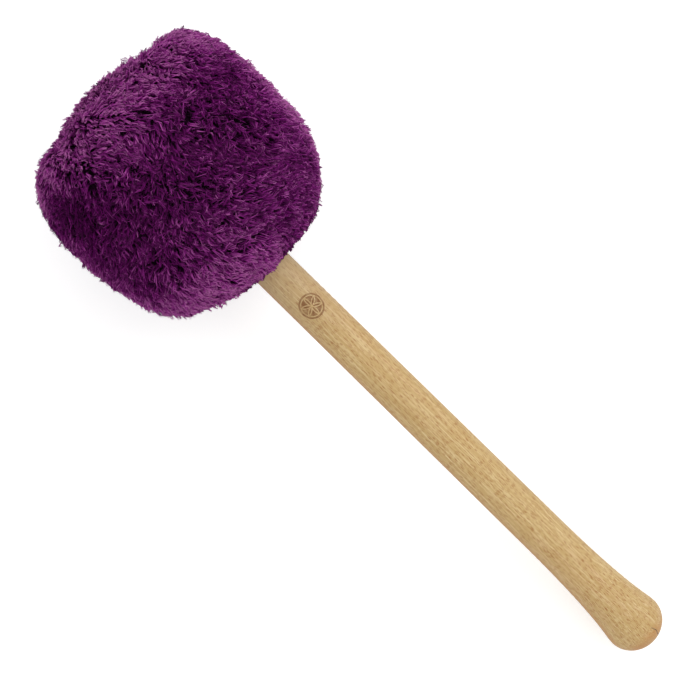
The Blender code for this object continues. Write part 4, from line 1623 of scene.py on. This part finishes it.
@dataclass(frozen=True)
class Core:
    """Wooden core with the washer and the screw that hold the handle in it."""

    front: float = CORE_FRONT
    rear: float = CORE_REAR
    radius: float = 0.0280
    bore: float = 0.0093
    recess_radius: float = 0.0110
    recess_depth: float = 0.0076
    web: float = 0.0040
    edge: float = 0.0020
    hole: float = 0.0028
    washer_radius: float = 0.0090
    washer_thickness: float = 0.0016
    screw_radius: float = 0.0025
    head_radius: float = 0.0050
    head_height: float = 0.0032
    screw_length: float = 0.0320
    point: float = 0.0050
    slot_width: float = 0.0012
    slot_depth: float = 0.0015
    thread_pitch: float = 0.0022
    thread_depth: float = 0.00045

    @property
    def seat(self) -> float:
        """Where the underside of the screw's head lies, a gap in front of the washer."""
        return self.front + self.recess_depth - 2 * GAP - self.washer_thickness

    def build_core(self, material: bpy.types.Material) -> None:
        """Builds the core, its edges eased.

        Args:
            material: The wood.
        """
        start, end = self.front, self.rear
        web = start + self.recess_depth
        corners = [
            (end, self.bore),
            (end, self.radius - self.edge),
            (end - self.edge, self.radius),
            (start + self.edge, self.radius),
            (start, self.radius - self.edge),
            (start, self.recess_radius),
            (web, self.recess_radius),
            (web, self.hole),
            (web + self.web, self.hole),
            (web + self.web, self.bore),
        ]
        outline = rounded(corners, 0.0009, True)
        angles = np.linspace(0.0, math.tau, 144, endpoint=False)
        shape = Shape.turned(outline, angles, Loop.RING)
        finished(shape.built("core_turned"), material, Slot.CORE_WOOD, "core")

    def build_washer(self, material: bpy.types.Material) -> None:
        """Builds the washer, its edges eased.

        Args:
            material: The plated steel.
        """
        start = self.seat + GAP
        corners = [
            (start, self.hole),
            (start + self.washer_thickness, self.hole),
            (start + self.washer_thickness, self.washer_radius),
            (start, self.washer_radius),
        ]
        outline = rounded(corners, 0.0004, True, 5)
        angles = np.linspace(0.0, math.tau, 120, endpoint=False)
        shape = Shape.turned(outline, angles, Loop.RING)
        finished(shape.built("washer_plated"), material, Slot.STEEL, "core_washer")

    def build_screw(self, material: bpy.types.Material) -> None:
        """Builds the screw: rounded head with its slot pressed in, plain neck, cut thread and point.

        Args:
            material: The plated steel.
        """
        turn = np.linspace(0.0, math.pi / 2, 14)
        edge = self.head_height
        head = np.column_stack([-edge * np.cos(turn), self.head_radius * np.sin(turn) ** 0.75])
        shank = np.arange(0.0004, self.screw_length - self.point, 0.00022)
        left = 1 - np.linspace(0.0, 1.0, 26)
        point = np.column_stack([self.screw_length - self.point * left, self.screw_radius * left])
        outline = np.concatenate(
            [
                head,
                [(0.0, self.head_radius - 0.0002), (0.0, self.screw_radius + 0.0002)],
                np.column_stack([shank, np.full(len(shank), self.screw_radius)]),
                point,
            ]
        )
        outline[0, 1] = 0.0
        outline[-1, 1] = 0.0
        angles = np.linspace(0.0, math.tau, 72, endpoint=False)
        shape = Shape.turned(outline + np.array([[self.seat, 0.0]]), angles, Loop.POLES)
        x, y, z = shape.points.T
        radius, angle = np.hypot(y, z), np.arctan2(y, -z)
        local = x - self.seat
        wave = 0.5 - 0.5 * np.cos(math.tau * local / self.thread_pitch - angle)
        threaded = smoothstep(0.009, 0.011, local)
        cut = self.thread_depth * wave * threaded * np.clip(radius / self.screw_radius, 0.0, 1.0)
        scale = (radius - cut) / np.maximum(radius, 1e-6)
        in_slot = (local < 0.0001) & (np.abs(y) < self.slot_width / 2)
        floor = self.seat - self.head_height + self.slot_depth
        x = np.where(in_slot, np.maximum(x, floor), x)
        shape.points = np.stack([x, y * scale, z * scale], axis=1)
        finished(shape.built("screw_plated"), material, Slot.STEEL, "core_screw")

    def build(self, wood: bpy.types.Material, steel: bpy.types.Material) -> None:
        """Builds the core and its fixings.

        Args:
            wood: Material of the core.
            steel: Material of the washer and the screw.
        """
        self.build_core(wood)
        self.build_washer(steel)
        self.build_screw(steel)
        LOG.info("core: wood, washer and screw")


@dataclass(frozen=True)
class FeltRoll:
    """A strip of felt wound twice round the core."""

    front: float = CORE_FRONT
    rear: float = CORE_REAR
    inner: float = 0.0283
    pitch: float = 0.0065
    thickness: float = 0.0060
    turns: float = 2.0
    cloth: tuple = (0.0708, 0.475)

    def build(self, material: bpy.types.Material) -> None:
        """Builds the strip as a rounded section carried along a spiral.

        Args:
            material: The felt.
        """
        half_width, half = (self.rear - self.front) / 2, self.thickness / 2
        corners = [(-half_width, -half), (half_width, -half), (half_width, half), (-half_width, half)]
        section = respaced(rounded(corners + corners[:1], 0.0013, False, 5), 0.0019)[:-1]
        angle = np.linspace(0.0, math.tau * self.turns, 360)
        middle = self.inner + half + self.pitch * angle / math.tau
        squeeze = 0.00022 * ripple(around(0 * angle, middle, angle), 0.012, SEED + 6)[:, None]
        radius = middle[:, None] + section[None, :, 1] * (1.0 + squeeze / half)
        x = (self.front + self.rear) / 2 + section[None, :, 0] + 0 * radius
        grid = around(x, radius, angle[:, None] + 0 * radius)
        poles = (grid[0].mean(axis=0), grid[-1].mean(axis=0))
        shape = Shape.woven(grid, Loop.POLES, poles)
        piece = finished(shape.built("felt_roll"), material, Slot.FELT, "felt_wrap")
        LOG.info("felt: %.0f mm strip in %.0f turns", self.cloth[1] * 1000, self.turns)


@dataclass(frozen=True)
class Padding:
    """Soft filling under the cover: end pad, sleeve round the felt and ring round the handle."""

    form: HeadForm
    depth: float = 0.0064
    front: float = CORE_FRONT
    rear: float = CORE_REAR
    bore: float = 0.0476
    hem: float = 0.0108
    seam_relief: float = 0.0017
    hem_depth: float = 0.0063

    def under_cover(self) -> np.ndarray:
        """The outline just inside the cover, hollowed where the seam's stitches lie.

        Returns:
            Its (along, radius) points.
        """
        points, run, _, seam = self.form.outline()
        slope = np.gradient(points, run, axis=0)
        slope /= np.linalg.norm(slope, axis=1)[:, None]
        hollow = self.seam_relief * np.exp(-0.5 * ((run - seam) / 0.0016) ** 2)
        depth = (self.depth + hollow)[:, None]
        path = points + depth * np.column_stack([slope[:, 1], -slope[:, 0]])
        path[0] = (self.depth, 0.0)
        return path

    def padded(self, name: str, node: str, corners: np.ndarray, loop: Loop, filling: tuple) -> None:
        """Builds one pad, its edges rounded and its outside slightly lumpy.

        Args:
            name: The piece's name.
            node: The solid it stands for.
            corners: Its section.
            loop: How the section closes.
            filling: The material of what it is made of, and its slot.
        """
        if loop is Loop.RING:
            corners = np.concatenate([corners, corners[:1]])
        outline = respaced(corners, 0.0013)
        if loop is Loop.RING:
            outline = outline[:-1]
        angles = np.linspace(0.0, math.tau, 168, endpoint=False)
        shape = Shape.turned(outline, angles, loop)
        x, y, z = shape.points.T
        radius = np.hypot(y, z)
        give = 0.00045 * (ripple(shape.points, 0.010, SEED + 7) - 1.3)
        scale = np.where(radius > self.bore + 0.002, (radius + give) / np.maximum(radius, 1e-6), 1.0)
        shape.points = np.stack([x, y * scale, z * scale], axis=1)
        piece = finished(shape.built(name), *filling, node)

    def build(self, felt: bpy.types.Material, wadding: bpy.types.Material) -> None:
        """Builds the three pads.

        Args:
            felt: Material of the end pad and the rear ring.
            wadding: Material of the sleeve.
        """
        felted = (felt, Slot.FELT)
        path = self.under_cover()
        start = self.front - GAP
        front = path[path[:, 0] < start]
        front = front[: np.argmax(front[:, 1]) + 1]
        close = np.array([[start, front[-1, 1] - 0.0006], [start, 0.004], [start, 0.0]])
        self.padded("end_pad_felt", "front_pad", np.concatenate([front, close]), Loop.POLES, felted)
        middle = path[(path[:, 0] > self.front + 0.0006) & (path[:, 0] < self.rear - 0.0006)]
        edge = 0.0008
        inside = np.array(
            [
                [self.rear, middle[-1, 1] - edge],
                [self.rear, self.bore + edge],
                [self.rear - edge, self.bore],
                [self.front + edge, self.bore],
                [self.front, self.bore + edge],
                [self.front, middle[0, 1] - edge],
            ]
        )
        section = np.concatenate([middle, inside])
        self.padded("padding_sleeve", "padding", section, Loop.RING, (wadding, Slot.WADDING))
        start, end = self.rear + GAP, self.form.length - self.hem_depth
        behind = path[(path[:, 0] > start + 0.0006) & (path[:, 1] > self.hem + 0.0012)]
        behind = behind[behind[:, 0] < end]
        inside = np.array(
            [
                [behind[-1, 0], self.hem + 0.0004],
                [start + 0.0004, self.hem],
                [start, self.hem + 0.0006],
                [start, behind[0, 1] - 0.0006],
            ]
        )
        self.padded("rear_ring_felt", "rear_pad", np.concatenate([behind, inside]), Loop.RING, felted)
        LOG.info("padding: end pad, sleeve and rear ring")


@dataclass(frozen=True)
class Plies:
    """Strands twisted round each other into a cord or thread."""

    count: int
    radius: float
    offset: float
    twists: int
    sides: int

    def ring(self, centres: np.ndarray, first: np.ndarray, second: np.ndarray) -> Shape:
        """The twisted strands along a closed path.

        Args:
            centres: The path, shape (n, 3), not repeating its first point.
            first: A unit direction square to the path at each point.
            second: Another, square to both.

        Returns:
            The strands as one surface.
        """
        share = np.arange(len(centres)) / len(centres)
        round_strand = np.linspace(0.0, math.tau, self.sides, endpoint=False)
        shapes = []
        for strand in range(self.count):
            turn = math.tau * (self.twists * share + strand / self.count)[:, None]
            middle = centres + self.offset * (np.cos(turn) * first + np.sin(turn) * second)
            angle = (turn + round_strand[None])[..., None]
            out = np.cos(angle) * first[:, None] + np.sin(angle) * second[:, None]
            shapes.append(Shape.woven(middle[:, None] + self.radius * out, Loop.RING))
        return Shape.joined(shapes)


@dataclass(frozen=True)
class Sewing:
    """Cord that draws the cover in at the handle, and thread that sews the end panel on."""

    form: HeadForm
    cord: Plies = Plies(3, 0.00046, 0.00050, 16, 10)
    thread: Plies = Plies(2, 0.00025, 0.00022, 60, 8)
    cord_place: float = 0.1190
    cord_ring: float = 0.0121
    stitches: int = 30
    stitch_reach: float = 0.0009
    thread_depth: float = 0.0068

    def build(self, cord_finish: bpy.types.Material, thread_finish: bpy.types.Material) -> None:
        """Builds the cord and the thread.

        Args:
            cord_finish: Material of the cord.
            thread_finish: Material of the thread.
        """
        angle = np.linspace(0.0, math.tau, 384, endpoint=False)
        centres = around(self.cord_place + 0 * angle, self.cord_ring + 0 * angle, angle)
        out = around(0 * angle, 1 + 0 * angle, angle)
        along = np.tile(np.array([1.0, 0.0, 0.0]), (len(angle), 1))
        shape = self.cord.ring(centres, along, out)
        finished(shape.built("draw_cord_twisted"), cord_finish, Slot.THREAD, "draw_cord")
        points, run, _, seam = self.form.outline()
        slope = np.array([np.interp(seam, run, np.gradient(points[:, axis], run)) for axis in range(2)])
        slope /= np.linalg.norm(slope)
        at_seam = np.array([np.interp(seam, run, points[:, axis]) for axis in range(2)])
        middle = at_seam + self.thread_depth * np.array([slope[1], -slope[0]])
        angle = np.linspace(0.0, math.tau, self.stitches * 24, endpoint=False)
        shift = self.stitch_reach * np.sin(self.stitches * angle)
        centres = around(middle[0] + shift * slope[0], middle[1] + shift * slope[1], angle)
        run_way = unit(np.roll(centres, -1, axis=0) - np.roll(centres, 1, axis=0))
        inward = around(0 * angle + slope[1], 0 * angle - slope[0], angle)
        first = unit(np.cross(run_way, inward))
        second = np.cross(first, run_way)
        shape = self.thread.ring(centres, first, second)
        finished(shape.built("seam_thread_plied"), thread_finish, Slot.THREAD, "seam_thread")
        LOG.info("sewing: cord and %d stitches", self.stitches)


@dataclass(frozen=True)
class Studio:
    """White table, soft light from the upper right of the picture and a camera straight above."""

    camera_place: tuple = (-0.0197, -0.0022, 0.8)
    camera_turn: float = math.radians(44.42)
    lens: float = 77.54
    world_level: float = 0.84
    key_power: float = 6.5
    key_place: tuple = (0.05, 1.05, 1.15)
    key_size: float = 1.1
    key_aim: tuple = (-0.02, 0.0, 0.05)
    floor_side: float = 12.0
    floor_colour: tuple = (0.90, 0.90, 0.90, 1.0)
    floor_glow: float = 0.42

    def add_camera(self) -> None:
        """Adds the camera at the photograph's angle."""
        data = bpy.data.cameras.new("camera")
        data.lens = self.lens
        data.sensor_width = 36.0
        data.clip_start = 0.01
        camera = bpy.data.objects.new("camera", data)
        camera.location = self.camera_place
        camera.rotation_euler = (0.0, 0.0, self.camera_turn)
        bpy.context.scene.collection.objects.link(camera)
        bpy.context.scene.camera = camera

    def add_light(self) -> None:
        """Adds an even white surround and one large soft lamp."""
        world = bpy.data.worlds.new("surround")
        world.use_nodes = True
        background = world.node_tree.nodes["Background"]
        background.inputs["Color"].default_value = (1.0, 1.0, 1.0, 1.0)
        background.inputs["Strength"].default_value = self.world_level
        bpy.context.scene.world = world
        data = bpy.data.lights.new("key", "AREA")
        data.energy = self.key_power
        data.size = self.key_size
        lamp = bpy.data.objects.new("key", data)
        lamp.location = self.key_place
        ahead = np.array(self.key_aim) - np.array(self.key_place)
        lean = math.atan2(math.hypot(ahead[0], ahead[1]), -ahead[2])
        lamp.rotation_euler = (lean, 0.0, math.atan2(-ahead[0], ahead[1]))
        bpy.context.scene.collection.objects.link(lamp)

    def add_floor(self) -> None:
        """Adds the table: white to the camera, with only the deeper part of the shadow left on it."""
        side = self.floor_side
        corners = [(-side, -side, 0.0), (side, -side, 0.0), (side, side, 0.0), (-side, side, 0.0)]
        mesh = bpy.data.meshes.new("table")
        mesh.from_pydata(corners, [], [(0, 1, 2, 3)])
        floor = bpy.data.objects.new("table", mesh)
        bpy.context.scene.collection.objects.link(floor)
        material = bpy.data.materials.new("white_table")
        material.use_nodes = True
        net = Net(material.node_tree)
        matte = net.node("BsdfDiffuse", {"Color": self.floor_colour})
        seen = net.node("LightPath").outputs["Is Camera Ray"]
        glow = net.node("Emission", {"Strength": net.math("MULTIPLY", seen, self.floor_glow)})
        both = net.node("AddShader", {0: matte.outputs[0], 1: glow.outputs[0]})
        net.put(material.node_tree.nodes["Material Output"].inputs["Surface"], both.outputs[0])
        mesh.materials.append(material)

    def build(self) -> None:
        """Sets the picture up and keeps its colours plain."""
        self.add_camera()
        self.add_light()
        self.add_floor()
        bpy.context.scene.view_settings.view_transform = "Standard"
        LOG.info("studio: camera, lamp and table")


HEAD = HeadForm()

# Zones of the nap on the upper side: along, across, heading in degrees, lean, painted shade, how tousled,
# reach
# A painted shade above 1 is painted light, as along the rim nearest the lamp; below 1 it is painted shadow
NAPS = (
    Nap(0.015, 0.045, 0.0, 0.80, 3.30, 0.18, 0.0085),
    Nap(0.016, 0.028, 14.0, 0.80, 2.60, 0.16, 0.0085),
    Nap(0.018, 0.006, 30.0, 0.80, 2.35, 0.14, 0.0085),
    Nap(0.019, -0.012, 40.0, 0.80, 2.30, 0.14, 0.0085),
    Nap(0.015, -0.032, 44.0, 0.80, 2.80, 0.16, 0.0080),
    Nap(0.013, -0.047, 44.0, 0.80, 4.00, 0.20, 0.0080),
    Nap(0.026, 0.034, -8.0, 0.72, 1.10, 0.30, 0.0085),
    Nap(0.027, 0.014, 14.0, 0.74, 1.05, 0.25, 0.0085),
    Nap(0.028, -0.003, 34.0, 0.78, 1.30, 0.20, 0.0080),
    Nap(0.028, -0.022, 42.0, 0.78, 1.36, 0.20, 0.0080),
    Nap(0.037, 0.010, 0.0, 0.60, 0.78, 0.45, 0.0080),
    Nap(0.038, -0.010, 20.0, 0.60, 0.90, 0.45, 0.0080),
    Nap(0.034, -0.039, -45.0, 0.40, 0.20, 0.70, 0.0115),
    Nap(0.057, -0.018, -45.0, 0.36, 0.62, 0.85, 0.0130),
    Nap(0.038, 0.040, -45.0, 0.44, 0.62, 0.65, 0.0120),
    Nap(0.060, 0.022, -30.0, 0.40, 0.62, 0.85, 0.0140),
    Nap(0.028, 0.060, 20.0, 0.74, 1.90, 0.30, 0.0090),
    Nap(0.050, 0.060, 35.0, 0.74, 7.00, 0.30, 0.0085),
    Nap(0.072, 0.060, 40.0, 0.74, 6.60, 0.30, 0.0085),
    Nap(0.094, 0.058, 40.0, 0.74, 4.60, 0.30, 0.0090),
    Nap(0.030, -0.058, -60.0, 0.60, 0.35, 0.45, 0.0100),
    Nap(0.050, -0.063, -60.0, 0.60, 1.90, 0.45, 0.0085),
    Nap(0.074, -0.063, -50.0, 0.62, 1.60, 0.45, 0.0085),
    Nap(0.075, -0.042, -45.0, 0.50, 0.66, 0.60, 0.0120),
    Nap(0.080, 0.010, 74.0, 0.50, 0.84, 0.72, 0.0140),
    Nap(0.098, 0.010, 76.0, 0.54, 1.02, 0.55, 0.0140),
    Nap(0.098, 0.036, 60.0, 0.50, 0.80, 0.55, 0.0110),
    Nap(0.098, -0.050, 20.0, 0.81, 2.50, 0.25, 0.0100),
    Nap(0.108, -0.034, 30.0, 0.81, 2.80, 0.22, 0.0100),
    Nap(0.112, -0.012, 34.0, 0.74, 2.60, 0.22, 0.0115),
    Nap(0.118, 0.020, 20.0, 0.62, 1.00, 0.35, 0.0090),
)


def main() -> None:
    """Builds the studio, then the mallet from the handle outwards."""
    logging.basicConfig(level=logging.INFO, format="%(message)s")
    Studio().build()
    effects = Effects()
    felt = FibreFinish("pressed_felt", (0.60, 0.57, 0.50, 1.0), (0.40, 0.37, 0.31, 1.0), 900.0, 0.0004)
    wadding = FibreFinish("loose_wadding", (0.78, 0.76, 0.72, 1.0), (0.52, 0.50, 0.46, 1.0), 420.0, 0.0008)
    felt_material, wadding_material = felt.material(effects), wadding.material(effects)
    Handle().build(BeechFinish().material(effects))
    Core().build(CoreFinish().material(effects), SteelFinish().material(effects))
    FeltRoll().build(felt_material)
    Padding(HEAD).build(felt_material, wadding_material)
    pile_end, pile_side = Pile(HEAD, NAPS).pieces(PileFinish().material())
    CoverSkin(HEAD).build(BackingFinish().material(effects), pile_end, pile_side)
    cord = ThreadFinish("draw_cord_cotton", (0.110, 0.014, 0.088, 1.0), (0.040, 0.004, 0.032, 1.0))
    thread = ThreadFinish("seam_thread_waxed", (0.120, 0.016, 0.096, 1.0), (0.045, 0.005, 0.036, 1.0))
    Sewing(HEAD).build(cord.material(effects), thread.material(effects))
    LOG.info("pile: %d pieces on the end panel and %d on the side", len(pile_end), len(pile_side))


if __name__ == "__main__":
    main()
